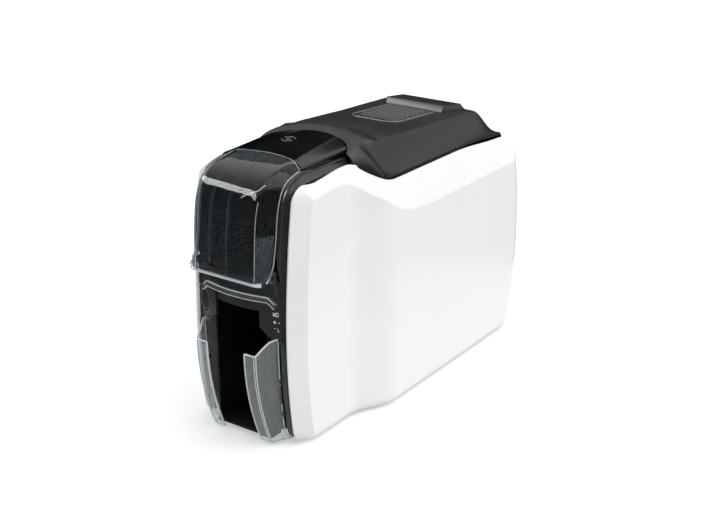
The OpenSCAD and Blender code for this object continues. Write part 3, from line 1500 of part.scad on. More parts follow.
side_cover_right();
side_cover_left();
base_tray();
rubber_feet();
front_bezel();
lower_front();
hopper_cap();
input_door();
door_pins();
exit_bar();
output_wing_right();
output_wing_left();
output_bin();
power_button();
status_lenses();
front_board();
card_hopper();
card_weight();
top_lid();
lid_latch();
latch_hooks();
latch_bearings();
lid_knuckles();
hinge_pin();
rear_panel();
power_inlet();
data_ports();
chassis_plate_right();
chassis_plate_left();
tie_bars();
shaft_bushes();
pick_roller();
feed_roller();
front_roller();
platen_roller();
exit_roller();
feed_pinch();
front_pinch();
exit_pinch();
motor_idler();
front_idler();
feed_idler();
pick_idler();
exit_idler();
drive_motor();
motor_pinion();
gate_flap();
card_guides();
ribbon_cassette();
supply_spool();
takeup_spool();
ribbon_film();
ribbon_motor();
ribbon_drive();
ribbon_pinion();
printhead_bracket();
printhead();
main_board();
board_standoffs();
cover_screws();
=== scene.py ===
"""Looks of a slim card printer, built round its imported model.

Shapes are worked out in millimetres with X right, Y back and Z up, and written to the meshes in
metres. The covers, the cap, the door, the wings and the lid are sheets over the same plan, edge
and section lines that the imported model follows, only with many more points.
"""
import json
import math

import bmesh
import bpy
import numpy as np
from mathutils import Matrix, Vector


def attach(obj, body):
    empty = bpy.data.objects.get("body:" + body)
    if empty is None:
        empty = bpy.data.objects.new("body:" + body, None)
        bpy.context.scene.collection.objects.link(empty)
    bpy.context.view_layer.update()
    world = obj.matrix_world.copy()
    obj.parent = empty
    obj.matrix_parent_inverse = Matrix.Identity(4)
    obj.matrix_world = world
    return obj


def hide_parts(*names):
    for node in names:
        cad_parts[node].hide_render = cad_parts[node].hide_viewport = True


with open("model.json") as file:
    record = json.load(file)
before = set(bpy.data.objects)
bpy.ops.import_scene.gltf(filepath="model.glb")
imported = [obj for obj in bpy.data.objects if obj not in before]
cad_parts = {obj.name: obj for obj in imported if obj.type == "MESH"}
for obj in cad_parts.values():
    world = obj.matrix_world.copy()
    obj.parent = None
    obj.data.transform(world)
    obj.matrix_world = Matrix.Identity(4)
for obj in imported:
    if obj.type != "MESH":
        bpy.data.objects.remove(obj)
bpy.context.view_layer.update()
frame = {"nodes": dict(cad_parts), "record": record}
MM = 0.001
BODY_OF = {node: body for body, nodes in frame["record"]["behaviour"]["bodies"].items() for node in nodes}

# Main lines of the object
HALF_W, Y_NOSE, Y_BACK, TOP = 79.0, -191.5, 191.5, 255.0
FACE_Y, COVER_Z0, DECK_Z = -169.5, 2.8, 216.5
WALL, CLEAR_T, SEAM, GAP = 2.5, 1.8, 0.6, 0.4
FRONT_HALF, BEVEL_IN = 51.0, 11.0
BULGE_Y, BULGE_K = -176.0, 0.00435
CAP_Y0, CAP_ARCH, CAP_HALF = -122.0, 14.0, 42.6
LID_Y0, LID_Y1, LID_ARCH = -50.0, 168.5, 25.0
LATCH_Y0, LATCH_Y1, LATCH_HALF = 27.0, 97.0, 24.0
LATCH_FRONT_Z, LATCH_BACK_Z = 246.4, 242.8
DOOR_PIN = (-176.0, 162.0)


def clamp01(t):
    return np.clip(t, 0.0, 1.0)


def ease(t):
    """Rises from 0 to 1 with flat ends: three times the square less twice the cube."""
    c = clamp01(t)
    return c * c * (3 - 2 * c)


def mix(a, b, t):
    return a + (b - a) * t


def curve_through(x, knots):
    """Values at x of a curve through the knots, rows of a place and its values: a cubic between each
    two rows, with slopes that are the harmonic mean of the two sides, so it never overshoots."""
    k = np.asarray(knots, float)
    t, v = k[:, 0], k[:, 1:]
    d = np.diff(v, axis=0) / np.diff(t)[:, None]
    m = np.zeros_like(v)
    same = d[:-1] * d[1:] > 0
    m[1:-1] = np.where(same, 2 * d[:-1] * d[1:] / np.where(same, d[:-1] + d[1:], 1), 0)
    m[0], m[-1] = d[0], d[-1]
    x = np.clip(np.asarray(x, float), t[0], t[-1])
    i = np.clip(np.searchsorted(t, x, side="right") - 1, 0, len(t) - 2)
    h = (t[i + 1] - t[i])[..., None]
    s = ((x - t[i]) / (t[i + 1] - t[i]))[..., None]
    out = (v[i] * (1 + 2 * s) * (1 - s) ** 2 + m[i] * h * s * (1 - s) ** 2
           + v[i + 1] * s * s * (3 - 2 * s) + m[i + 1] * h * s * s * (s - 1))
    return out[..., 0] if v.shape[1] == 1 else out


# Plan and edge lines of the side covers
def side_x(y):
    """Half width of the covers at a depth y: waist near the front, slight taper at the back."""
    return HALF_W - 17 * (1 - ease((y + 98.0) / 53)) - 0.7 * ease((y - 80.0) / 111.5)


def top_z(y):
    """Height of a cover's top edge: a hump over the hopper that falls to the deck."""
    return (DECK_Z + 24 * (1 - ease((y + 104.0) / 80)) - 3.5 * ease((-110.0 - y) / 45)
            - 6 * ease((y - 90.0) / 101.5))


def edge_in(y):
    """How far in from the side the top edge lies: less at the waist."""
    return mix(7.5, BEVEL_IN, ease((y + 98.0) / 53))


def bevel_h(y):
    """Height of the band that leans in along the top: low over the hump and tall behind it."""
    return mix(11, 32, ease((y + 125.0) / 135)) - 6 * ease((y - 90.0) / 101.5)


def front_y(z):
    """Front edge of a cover: a parabola about its foremost height."""
    return FACE_Y + np.where(z > 100, 0.0006, 0.0009) * (z - 100) ** 2


def back_y(z):
    return Y_BACK - np.where(z > 100, 0.00115, 0.0018) * (z - 100) ** 2


def corner(d, r):
    """How far a round corner of radius r holds an edge back, at a distance d from it."""
    return np.where(d >= r, 0, r - np.sqrt(np.maximum(r * r - (r - np.minimum(d, r)) ** 2, 0)))


def front_end(z):
    """Front edge of a cover with its two round corners."""
    return front_y(z) + corner(top_z(FACE_Y) - z, 13) + corner(z - COVER_Z0, 13)


def cover_x(y, yb, z):
    """Outer face of a cover: the plan less the four bands that lean in along its edges."""
    top = edge_in(yb) * clamp01(1 - (top_z(yb) - z) / bevel_h(yb))
    front = (side_x(yb) - FRONT_HALF) * clamp01(1 - (y - front_end(z)) / 14)
    back = 6 * clamp01(1 - (back_y(z) - y) / 18) ** 2
    foot = 5 * clamp01(1 - (z - COVER_Z0) / 9) ** 2
    return side_x(yb) - (top ** 6 + front ** 6 + back ** 6 + foot ** 6) ** (1 / 6)


def bulge(x):
    """Plan of the dark front wall: a parabola that stands forward in the middle."""
    return BULGE_Y + BULGE_K * x * x


# Meshes
def shell(outer, inner, bow=0.3, steps=3):
    """Closed sheet from an outer and an inner grid. The rim between them is a half sine that stands
    out along the sheet by bow times the sheet's thickness."""
    nu, nv = outer.shape[:2]
    index = np.arange(nu * nv).reshape(nu, nv)
    cells = np.stack([index[:-1, :-1], index[:-1, 1:], index[1:, 1:], index[1:, :-1]], -1).reshape(-1, 4)
    ring = np.concatenate([index[0, :-1], index[:-1, -1], index[-1, :0:-1], index[:0:-1, 0]])
    a, b = np.unravel_index(ring, (nu, nv))
    near = np.ravel_multi_index((np.clip(a, 1, nu - 2), np.clip(b, 1, nv - 2)), (nu, nv))
    o, i = outer.reshape(-1, 3), inner.reshape(-1, 3)
    out = o[ring] - o[near]
    out /= np.maximum(np.linalg.norm(out, axis=1, keepdims=True), 1e-9)
    thick = np.linalg.norm(o[ring] - i[ring], axis=1, keepdims=True)
    t = (np.arange(steps) + 1)[:, None, None] / (steps + 1)
    rim = mix(o[ring], i[ring], t) + out * thick * bow * np.sin(np.pi * t)
    n, count = len(ring), nu * nv
    rows = np.vstack([ring, 2 * count + np.arange(steps * n).reshape(steps, n), count + ring])
    after = np.roll(rows, -1, axis=1)
    sides = np.stack([rows[:-1], rows[1:], after[1:], after[:-1]], -1).reshape(-1, 4)
    verts = np.vstack([o, i, rim.reshape(-1, 3)])
    return outward(verts, np.vstack([cells, count + cells[:, ::-1], sides]))


def volume(verts, quads):
    """Signed volume of a closed mesh of quads: a sixth of the sum of its corners' triple products."""
    a, b, c, d = (verts[quads[:, k]] for k in range(4))
    return (np.einsum("ij,ij->i", a, np.cross(b, c)) + np.einsum("ij,ij->i", a, np.cross(c, d))).sum() / 6


def outward(verts, quads):
    return verts, quads if volume(verts, quads) > 0 else quads[:, ::-1]


def joined(*parts):
    """Several meshes as one: their points in line, and their corner numbers moved on to match."""
    start = np.cumsum([0] + [len(p[0]) for p in parts[:-1]])
    return np.vstack([p[0] for p in parts]), np.vstack([p[1] + s for p, s in zip(parts, start)])


def mirrored(part):
    verts, quads = part
    return verts * [-1, 1, 1], quads[:, ::-1]


def round_box(x0, x1, y0, y1, z0, z1, r=0.5, steps=3):
    """Box whose edges and corners are rounded to r: a ball of radius r whose eighths are moved apart."""
    a = np.linspace(0, 90, steps + 1)
    turn = np.radians(np.concatenate([a, a + 90, a + 180, a + 270]))
    sx = np.repeat([1, 0, 0, 1], steps + 1)
    sy = np.repeat([1, 1, 0, 0], steps + 1)
    lift = np.radians(np.concatenate([a - 90, a]))
    sz = np.repeat([0, 1], steps + 1)
    x = mix(x0 + r, x1 - r, sx) + r * np.cos(turn) * np.cos(lift)[:, None]
    y = mix(y0 + r, y1 - r, sy) + r * np.sin(turn) * np.cos(lift)[:, None]
    z = (mix(z0 + r, z1 - r, sz) + r * np.sin(lift))[:, None] + 0 * x
    return closed_rows(np.stack([x, y, z], -1))


def closed_rows(grid):
    """Closed mesh from rings of points: each ring joins the next, and the two end rings are closed by a
    fan about their middle."""
    rows, n = grid.shape[:2]
    index = np.arange(rows * n).reshape(rows, n)
    after = np.roll(index, -1, axis=1)
    sides = np.stack([index[:-1], after[:-1], after[1:], index[1:]], -1).reshape(-1, 4)
    ends = np.stack([grid[0].mean(0), grid[-1].mean(0)])
    low, high = rows * n, rows * n + 1
    fans = np.vstack([np.stack([after[0], index[0], np.full(n, low), np.full(n, low)], -1),
                      np.stack([index[-1], after[-1], np.full(n, high), np.full(n, high)], -1)])
    return outward(np.vstack([grid.reshape(-1, 3), ends]), np.vstack([sides, fans]))


def carried(section, places, ahead, side, up):
    """A closed section of (side, up) pairs carried along places, with its own directions at each."""
    grid = places[:, None] + section[None, :, :1] * side[:, None] + section[None, :, 1:] * up[:, None]
    return closed_rows(grid)


def tube(path, r, n=12):
    """Round tube of radius r along an open path, its ends closed by small domes."""
    path = np.asarray(path, float)
    ahead = np.gradient(path, axis=0)
    ahead /= np.linalg.norm(ahead, axis=1, keepdims=True)
    ref = np.where(np.abs(ahead[:, 2:]) > 0.9, [[1.0, 0, 0]], [[0, 0, 1.0]])
    side = np.cross(ahead, ref)
    side /= np.linalg.norm(side, axis=1, keepdims=True)
    up = np.cross(side, ahead)
    a = np.linspace(0, 2 * np.pi, n, endpoint=False)
    ring = np.stack([np.cos(a), np.sin(a)], -1)
    r = np.broadcast_to(np.asarray(r, float), len(path)).copy()
    path = np.vstack([path[:1] - ahead[:1] * r[0] * 0.6, path, path[-1:] + ahead[-1:] * r[-1] * 0.6])
    side, up = (np.vstack([v[:1], v, v[-1:]]) for v in (side, up))
    r = np.concatenate([[r[0] * 0.5], r, [r[-1] * 0.5]])[:, None, None]
    grid = path[:, None] + r * (ring[None, :, :1] * side[:, None] + ring[None, :, 1:] * up[:, None])
    return closed_rows(grid)


def rod(y, z, x0, x1, r, n=24):
    """Rod along X with chamfered ends."""
    c = min(0.3, r / 3)
    x = np.array([x0, x0 + c, x1 - c, x1])
    radius = np.array([r - c, r, r, r - c])
    a = np.linspace(0, 2 * np.pi, n, endpoint=False)
    grid = np.stack([x[:, None] + 0 * a, y + radius[:, None] * np.cos(a), z + radius[:, None] * np.sin(a)], -1)
    return closed_rows(grid)


def finish_mesh(mesh, crease):
    mesh.validate()
    mesh.polygons.foreach_set("use_smooth", np.ones(len(mesh.polygons), bool))
    mesh.set_sharp_from_angle(angle=math.radians(crease))
    mesh.update()


def new_object(name, mesh, material, body, replaced=()):
    """Puts a finished mesh on its body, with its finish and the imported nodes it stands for."""
    obj = bpy.data.objects.new(name, mesh)
    bpy.context.scene.collection.objects.link(obj)
    mesh.materials.clear()
    mesh.materials.append(material)
    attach(obj, body)
    if replaced:
        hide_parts(*replaced)
    return obj


def piece(name, part, material, body="machine", replaced=(), crease=38):
    """A new piece from points in millimetres and quads. A quad whose last two corners are the same
    point is written as a triangle."""
    verts, quads = part
    mesh = bpy.data.meshes.new(name)
    lone = quads[:, 2] == quads[:, 3]
    counts = np.where(lone, 3, 4)
    keep = np.ones(quads.shape, bool)
    keep[lone, 3] = False
    loops = quads[keep]
    mesh.vertices.add(len(verts))
    mesh.vertices.foreach_set("co", (np.asarray(verts) * MM).ravel())
    mesh.loops.add(len(loops))
    mesh.loops.foreach_set("vertex_index", loops)
    mesh.polygons.add(len(quads))
    mesh.polygons.foreach_set("loop_start", np.concatenate([[0], np.cumsum(counts)[:-1]]))
    finish_mesh(mesh, crease)
    return new_object(name, mesh, material, body, replaced)


def softened(name, node, material, width=0.5, segments=2, crease=30):
    """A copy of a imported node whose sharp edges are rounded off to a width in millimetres."""
    bm = bmesh.new()
    bm.from_mesh(frame["nodes"][node].data)
    bmesh.ops.remove_doubles(bm, verts=bm.verts, dist=1e-5)
    bmesh.ops.dissolve_limit(bm, angle_limit=math.radians(0.8), verts=bm.verts, edges=bm.edges)
    mesh = bpy.data.meshes.new(name)
    bm.to_mesh(mesh)
    bm.free()
    finish_mesh(mesh, crease)
    obj = new_object(name, mesh, material, BODY_OF[node], [node])
    bevel = obj.modifiers.new("rounding", "BEVEL")
    bevel.width = width * MM
    bevel.segments = segments
    bevel.limit_method = "ANGLE"
    bevel.angle_limit = math.radians(35)
    bevel.use_clamp_overlap = True
    return obj


# Finishes
def node_group(name, inputs, outputs):
    """An empty shader node group with its sockets: names to (kind, default)."""
    group = bpy.data.node_groups.new(name, "ShaderNodeTree")
    for label, (kind, value) in inputs.items():
        socket = group.interface.new_socket(label, in_out="INPUT", socket_type=f"NodeSocket{kind}")
        socket.default_value = value
    for label, kind in outputs.items():
        group.interface.new_socket(label, in_out="OUTPUT", socket_type=f"NodeSocket{kind}")
    return group, group.nodes.new("NodeGroupInput"), group.nodes.new("NodeGroupOutput")


def link_all(tree, pairs):
    for a, b in pairs:
        tree.links.new(a, b)


def math_node(tree, kind, a, b=None, clamp=False):
    node = tree.nodes.new("ShaderNodeMath")
    node.operation = kind
    node.use_clamp = clamp
    for k, value in enumerate([a, b]):
        if value is None:
            continue
        if isinstance(value, (int, float)):
            node.inputs[k].default_value = value
        else:
            tree.links.new(value, node.inputs[k])
    return node.outputs[0]


def noise(tree, vector, scale, detail=2.0, rough=0.5):
    node = tree.nodes.new("ShaderNodeTexNoise")
    node.inputs["Detail"].default_value = detail
    node.inputs["Roughness"].default_value = rough
    tree.links.new(vector, node.inputs["Vector"])
    if isinstance(scale, (int, float)):
        node.inputs["Scale"].default_value = scale
    else:
        tree.links.new(scale, node.inputs["Scale"])
    return node.outputs["Fac"]


def mix_colour(tree, factor, a, b):
    node = tree.nodes.new("ShaderNodeMix")
    node.data_type = "RGBA"
    tree.links.new(factor, node.inputs[0])
    for socket, value in ((node.inputs[6], a), (node.inputs[7], b)):
        if isinstance(value, tuple):
            socket.default_value = (*value, 1)
        else:
            tree.links.new(value, socket)
    return node.outputs[2]


def build_skin():
    """Moulded or painted skin: two tones and two roughnesses mixed by broad patches, and a fine grain
    for the normal. Directions stretches the grain, as brushing does."""
    group, source, sink = node_group(
        "moulded_skin",
        {"Tone A": ("Color", (0.5, 0.5, 0.5, 1)), "Tone B": ("Color", (0.5, 0.5, 0.5, 1)),
         "Rough A": ("Float", 0.3), "Rough B": ("Float", 0.4), "Patch Scale": ("Float", 30),
         "Grain Scale": ("Float", 1500), "Grain Depth": ("Float", 0.02),
         "Directions": ("Vector", (1, 1, 1))},
        {"Color": "Color", "Roughness": "Float", "Normal": "Vector"})
    coord = group.nodes.new("ShaderNodeTexCoord")
    stretch = group.nodes.new("ShaderNodeVectorMath")
    stretch.operation = "MULTIPLY"
    link_all(group, [(coord.outputs["Object"], stretch.inputs[0]), (source.outputs["Directions"], stretch.inputs[1])])
    patch = noise(group, coord.outputs["Object"], source.outputs["Patch Scale"], 3.0, 0.6)
    grain = noise(group, stretch.outputs[0], source.outputs["Grain Scale"], 2.0, 0.5)
    wide = group.nodes.new("ShaderNodeMapRange")
    wide.inputs["From Min"].default_value = 0.35
    wide.inputs["From Max"].default_value = 0.65
    group.links.new(patch, wide.inputs["Value"])
    group.links.new(mix_colour(group, wide.outputs[0], source.outputs["Tone A"], source.outputs["Tone B"]),
                    sink.inputs["Color"])
    both = math_node(group, "MULTIPLY", math_node(group, "ADD", wide.outputs[0], grain), 0.5)
    span = math_node(group, "SUBTRACT", source.outputs["Rough B"], source.outputs["Rough A"])
    group.links.new(math_node(group, "ADD", math_node(group, "MULTIPLY", both, span), source.outputs["Rough A"]),
                    sink.inputs["Roughness"])
    bump = group.nodes.new("ShaderNodeBump")
    bump.inputs["Distance"].default_value = 0.0004
    link_all(group, [(source.outputs["Grain Depth"], bump.inputs["Strength"]), (grain, bump.inputs["Height"]),
                     (bump.outputs[0], sink.inputs["Normal"])])
    return group


def build_zone():
    """How much a point lies within a band of X and outside a radius about an axis along X: 1 inside
    the zone, 0 outside, for pieces of several stuffs on one shaft."""
    group, source, sink = node_group(
        "shaft_zone",
        {"Axis Y": ("Float", 0), "Axis Z": ("Float", 0), "Radius": ("Float", 0.003),
         "From X": ("Float", 0), "To X": ("Float", 0)},
        {"Mask": "Float"})
    coord = group.nodes.new("ShaderNodeTexCoord")
    split = group.nodes.new("ShaderNodeSeparateXYZ")
    group.links.new(coord.outputs["Object"], split.inputs[0])
    dy = math_node(group, "SUBTRACT", split.outputs["Y"], source.outputs["Axis Y"])
    dz = math_node(group, "SUBTRACT", split.outputs["Z"], source.outputs["Axis Z"])
    far = math_node(group, "SQRT", math_node(
        group, "ADD", math_node(group, "MULTIPLY", dy, dy), math_node(group, "MULTIPLY", dz, dz)))
    size = math_node(group, "ABSOLUTE", split.outputs["X"])
    outside = math_node(group, "GREATER_THAN", far, source.outputs["Radius"])
    after = math_node(group, "GREATER_THAN", size, source.outputs["From X"])
    before = math_node(group, "LESS_THAN", size, source.outputs["To X"])
    group.links.new(math_node(group, "MULTIPLY", outside, math_node(group, "MULTIPLY", after, before)),
                    sink.inputs["Mask"])
    return group


SKIN = build_skin()
ZONE = build_zone()


def skin_node(tree, tones, rough, patch, grain, depth, directions=(1, 1, 1)):
    node = tree.nodes.new("ShaderNodeGroup")
    node.node_tree = SKIN
    for label, value in (("Tone A", (*tones[0], 1)), ("Tone B", (*tones[1], 1)), ("Rough A", rough[0]),
                         ("Rough B", rough[1]), ("Patch Scale", patch), ("Grain Scale", grain),
                         ("Grain Depth", depth), ("Directions", directions)):
        node.inputs[label].default_value = value
    return node


def finish(name, tones, rough, patch=25.0, grain=1500.0, depth=0.05, directions=(1, 1, 1), **constants):
    """A material of one stuff: the skin group feeds colour, roughness and normal, and what is constant
    is set on the shader itself."""
    mat = bpy.data.materials.new(name)
    mat.use_nodes = True
    tree = mat.node_tree
    bsdf = tree.nodes["Principled BSDF"]
    skin = skin_node(tree, tones, rough, patch, grain, depth, directions)
    link_all(tree, [(skin.outputs["Color"], bsdf.inputs["Base Color"]),
                    (skin.outputs["Roughness"], bsdf.inputs["Roughness"]),
                    (skin.outputs["Normal"], bsdf.inputs["Normal"])])
    for label, value in constants.items():
        bsdf.inputs[label.replace("_", " ")].default_value = value
    return mat


def grey(v, tint=(1, 1, 1)):
    return tuple(v * t for t in tint)


COOL = (0.97, 1.0, 1.03)
GREENISH = (0.94, 1.03, 1.0)
white = finish("white_moulding", [grey(0.855), grey(0.87)], (0.28, 0.36), 12, 900, 0.03, Specular_IOR_Level=0.35)
lid_black = finish("black_satin_moulding", [grey(0.007, COOL), grey(0.010, COOL)], (0.36, 0.44), 18, 1600, 0.04,
                   Specular_IOR_Level=0.5)
cap_black = finish("black_gloss_moulding", [grey(0.004, COOL), grey(0.006, COOL)], (0.12, 0.18), 14, 1200, 0.02,
                   Specular_IOR_Level=0.35)
bezel_dark = finish("dark_bezel_moulding", [grey(0.022, GREENISH), grey(0.028, GREENISH)], (0.24, 0.34), 20, 1300, 0.05,
                    Specular_IOR_Level=0.45)
inner_black = finish("black_inner_moulding", [grey(0.003), grey(0.005)], (0.55, 0.65), 30, 1400, 0.02,
                     Specular_IOR_Level=0.15)
hopper_dark = finish("hopper_moulding", [grey(0.002), grey(0.004)], (0.65, 0.75), 30, 1400, 0.0,
                     Specular_IOR_Level=0.03)
latch_dark = finish("latch_moulding", [grey(0.022, COOL), grey(0.028, COOL)], (0.26, 0.34), 25, 1500, 0.04,
                    Specular_IOR_Level=0.6)
button_dark = finish("button_moulding", [grey(0.02, GREENISH), grey(0.03, GREENISH)], (0.25, 0.35), 40, 1500, 0.05)
mark_white = finish("white_ink", [grey(0.75), grey(0.82)], (0.4, 0.5), 90, 2000, 0.04)
rubber = finish("black_rubber", [grey(0.012), grey(0.02)], (0.65, 0.8), 60, 1800, 0.25, Specular_IOR_Level=0.3)
sheet_steel = finish("zinc_sheet_steel", [grey(0.5, COOL), grey(0.6, COOL)], (0.3, 0.45), 60, 900, 0.15,
                     Metallic=1.0)
bright_steel = finish("ground_steel", [grey(0.58), grey(0.66)], (0.14, 0.26), 80, 900, 0.1, (6, 1, 1), Metallic=1.0)
bronze = finish("sintered_bronze", [(0.42, 0.27, 0.12), (0.55, 0.37, 0.18)], (0.35, 0.5), 120, 2200, 0.3, Metallic=1.0)
acetal = finish("gear_acetal", [grey(0.72, (1, 0.98, 0.93)), grey(0.78, (1, 0.98, 0.93))], (0.35, 0.45), 60, 1500, 0.08)
brass = finish("turned_brass", [(0.6, 0.42, 0.16), (0.7, 0.52, 0.22)], (0.2, 0.32), 90, 1500, 0.1, Metallic=1.0)
motor_black = finish("motor_enamel", [grey(0.02), grey(0.03)], (0.35, 0.5), 40, 1200, 0.12)
can_steel = finish("drawn_steel_can", [grey(0.5), grey(0.58)], (0.2, 0.34), 70, 1200, 0.12, (8, 1, 1), Metallic=1.0)
cassette_blue = finish("cassette_moulding", [(0.05, 0.14, 0.27), (0.07, 0.17, 0.31)], (0.3, 0.42), 30, 1400, 0.08)
ceramic = finish("print_head_ceramic", [(0.62, 0.58, 0.46), (0.7, 0.66, 0.54)], (0.25, 0.4), 80, 2000, 0.06)


def clear_finish(name, tint, rough, ior=1.46):
    """Clear plastic: plain transmission, one tint, and roughness that varies in patches; the grain depth is 0, so the
    normal stays smooth.
    """
    mat = finish(name, [tint, tint], (rough, rough * 1.6), 20, 40, 0.0, Transmission_Weight=1.0, IOR=ior)
    return mat


clear_door = clear_finish("clear_smoked_polycarbonate", (0.52, 0.57, 0.60), 0.01, 1.3)
clear_wing = finish("clear_polycarbonate", [(0.80, 0.86, 0.88), (0.84, 0.89, 0.91)], (0.03, 0.06), 20, 40, 0.0,
                    Transmission_Weight=0.95, IOR=1.45)
# Painted highlight: a pale, half-clear finish for thin beads along clear edges, standing in for the bright reflections
# that run along them.
painted_highlight_edge = finish("painted_highlight_clear_edge", [(0.84, 0.88, 0.89), (0.92, 0.95, 0.96)], (0.12, 0.2), 90, 300, 0.02,
                    Transmission_Weight=0.35, IOR=1.45)
# Painted reflection: a pale hazed finish for a sheet inside the door's left side, standing in for the bright reflected
# band there.
painted_reflection_haze = finish("painted_reflection_clear_flank", [(0.80, 0.84, 0.86), (0.86, 0.89, 0.90)], (0.12, 0.2), 60, 300, 0.01,
                    Transmission_Weight=0.62, IOR=1.45)
# Painted shade: the door's clear ribs are tinted dark blue and made mostly opaque, standing in for their dark look.
rib_painted_shade = finish("clear_rib_painted_shade", [(0.03, 0.07, 0.11), (0.04, 0.09, 0.14)], (0.05, 0.1), 60, 400, 0.02,
                   Transmission_Weight=0.3, IOR=1.45)
grey_ink = finish("grey_ink", [grey(0.10), grey(0.13)], (0.35, 0.45), 90, 2000, 0.04)
# Painted highlight: a lighter grey for beads and crests that stand in for highlights on the latch and round the button.
painted_highlight_grey = finish("painted_highlight_satin", [grey(0.14, COOL), grey(0.18, COOL)], (0.25, 0.35), 40, 1600, 0.06)


def zoned(name, base, zones):
    """A material of several stuffs on one shaft. base and each zone's stuff are (tones, rough, metallic),
    and a zone is (axis, radius, from x, to x, stuff) in millimetres."""
    mat = bpy.data.materials.new(name)
    mat.use_nodes = True
    tree = mat.node_tree
    bsdf = tree.nodes["Principled BSDF"]
    tones, rough, metal = base
    skin = skin_node(tree, tones, rough, 70, 1500, 0.08)
    colour, roughness, metallic = skin.outputs["Color"], skin.outputs["Roughness"], None
    value = tree.nodes.new("ShaderNodeValue")
    value.outputs[0].default_value = metal
    metallic = value.outputs[0]
    for (y, z), radius, x0, x1, (tones, rough, metal) in zones:
        zone = tree.nodes.new("ShaderNodeGroup")
        zone.node_tree = ZONE
        for label, number in (("Axis Y", y), ("Axis Z", z), ("Radius", radius), ("From X", x0), ("To X", x1)):
            zone.inputs[label].default_value = number * MM
        mask = zone.outputs["Mask"]
        part = skin_node(tree, tones, rough, 70, 1500, 0.12)
        colour = mix_colour(tree, mask, colour, part.outputs["Color"])
        keep = math_node(tree, "SUBTRACT", 1.0, mask)
        roughness = math_node(tree, "ADD", math_node(tree, "MULTIPLY", roughness, keep),
                              math_node(tree, "MULTIPLY", part.outputs["Roughness"], mask))
        metallic = math_node(tree, "ADD", math_node(tree, "MULTIPLY", metallic, keep),
                             math_node(tree, "MULTIPLY", mask, metal))
    link_all(tree, [(colour, bsdf.inputs["Base Color"]), (roughness, bsdf.inputs["Roughness"]),
                    (metallic, bsdf.inputs["Metallic"]), (skin.outputs["Normal"], bsdf.inputs["Normal"])])
    return mat


STEEL = ([grey(0.58), grey(0.66)], (0.14, 0.26), 1.0)
TYRE = ([grey(0.014), grey(0.022)], (0.6, 0.75), 0.0)
SOFT_TYRE = ([grey(0.06), grey(0.08)], (0.5, 0.65), 0.0)
GEAR = ([grey(0.72, (1, 0.98, 0.93)), grey(0.78, (1, 0.98, 0.93))], (0.35, 0.45), 0.0)
BRASS = ([(0.6, 0.42, 0.16), (0.7, 0.52, 0.22)], (0.2, 0.32), 1.0)
CORE = ([grey(0.68), grey(0.74)], (0.4, 0.5), 0.0)
FILM = ([(0.10, 0.012, 0.05), (0.14, 0.02, 0.07)], (0.12, 0.2), 0.0)
GEAR_X = (39.0, 45.0)
PAIR_X = (7.5, 22.5)


# Side covers
def crowded(n):
    """n + 1 steps from 0 to 1 that crowd towards both ends."""
    t = np.arange(n + 1) / n
    return mix(t, 0.5 - 0.5 * np.cos(np.pi * t), 0.8)


def cover_grid():
    """Outer and inner face of a cover: u runs from front to back, and the rows from the foot over the
    crease of the leaning band to the top edge. Each point lies between the round-cornered front and
    back edges at its height."""
    u = np.concatenate([mix(0, 0.039, np.arange(14) / 14), mix(0.039, 1, crowded(140))])[:, None]
    low, high = (np.arange(62) / 61)[None], (np.arange(23) / 22)[None]
    yb = mix(FACE_Y, Y_BACK, u)
    crease = top_z(yb) - bevel_h(yb)
    z = np.concatenate([mix(COVER_Z0, crease - 0.9, mix(low, 1 - np.cos(low * np.pi / 2), 0.7)), crease,
                        mix(crease + 0.9, top_z(yb), np.sin(high * np.pi / 2))], axis=1)
    u, yb = u + 0 * z, yb + 0 * z
    v = (z - COVER_Z0) / (top_z(yb) - COVER_Z0)
    y0 = front_end(z)
    y1 = back_y(z) - corner(top_z(Y_BACK) - z, 16) - corner(z - COVER_Z0, 13)
    y = mix(y0, y1, u)
    outer = np.stack([cover_x(y, yb, z), y, z], -1)
    shift = np.stack([-WALL + 0 * u, WALL * (1 - 2 * u) ** 7, WALL * (1 - 2 * v) ** 7], -1)
    return outer, outer + shift


cover = shell(*cover_grid(), bow=0.25)
piece("cover_shell_right", cover, white, replaced=["side_cover_right"])
piece("cover_shell_left", mirrored(cover), white, replaced=["side_cover_left"])


# Cap over the hopper
def cap_grid(inset):
    """Cap: a flat middle, a facet that widens towards the lid, a rolled edge and a straight side. Rows
    run from the door's arched edge to the lid's."""
    s = np.linspace(0, 1, 60)
    rows = []
    w = np.concatenate([np.linspace(0, 1, 24), 1 + np.linspace(0.08, 1, 16), 2 + np.linspace(0.12, 1, 10),
                        3 + np.linspace(0.25, 1, 5)])
    for k in range(len(s)):
        c, d = mix(28, 18, s[k]), mix(3.4, 2.4, s[k])
        rows.append(curve_through(w, [[0, 0, 0], [0.5, c / 2, -0.06], [1, c, -0.25], [1.12, c + 2.4, -0.62],
                                      [2, 40.9, -d], [2.5, 42.2, -d - 0.6], [3, 42.6, -d - 1.6], [4, 42.6, -11]]))
    p = np.array(rows)
    f = p[..., 0] / CAP_HALF
    y0 = CAP_Y0 + GAP - CAP_ARCH * f ** 2 + inset
    y1 = LID_Y0 - SEAM - LID_ARCH * (p[..., 0] / 45) ** 2 - inset
    y = mix(y0, y1, s[:, None])
    z = mix(250.8, 252.6, clamp01((y - CAP_Y0) / 71)) + p[..., 1] - inset * clamp01((p[..., 1] + 11) / 2)
    x = p[..., 0] - inset * clamp01(f * 8 - 7)
    half = np.stack([x, y, z], -1)
    return np.concatenate([half[:, :0:-1] * [-1, 1, 1], half], axis=1)


piece("cap_shell", shell(cap_grid(0), cap_grid(2.0), bow=0.25), cap_black, replaced=["hopper_cap"])


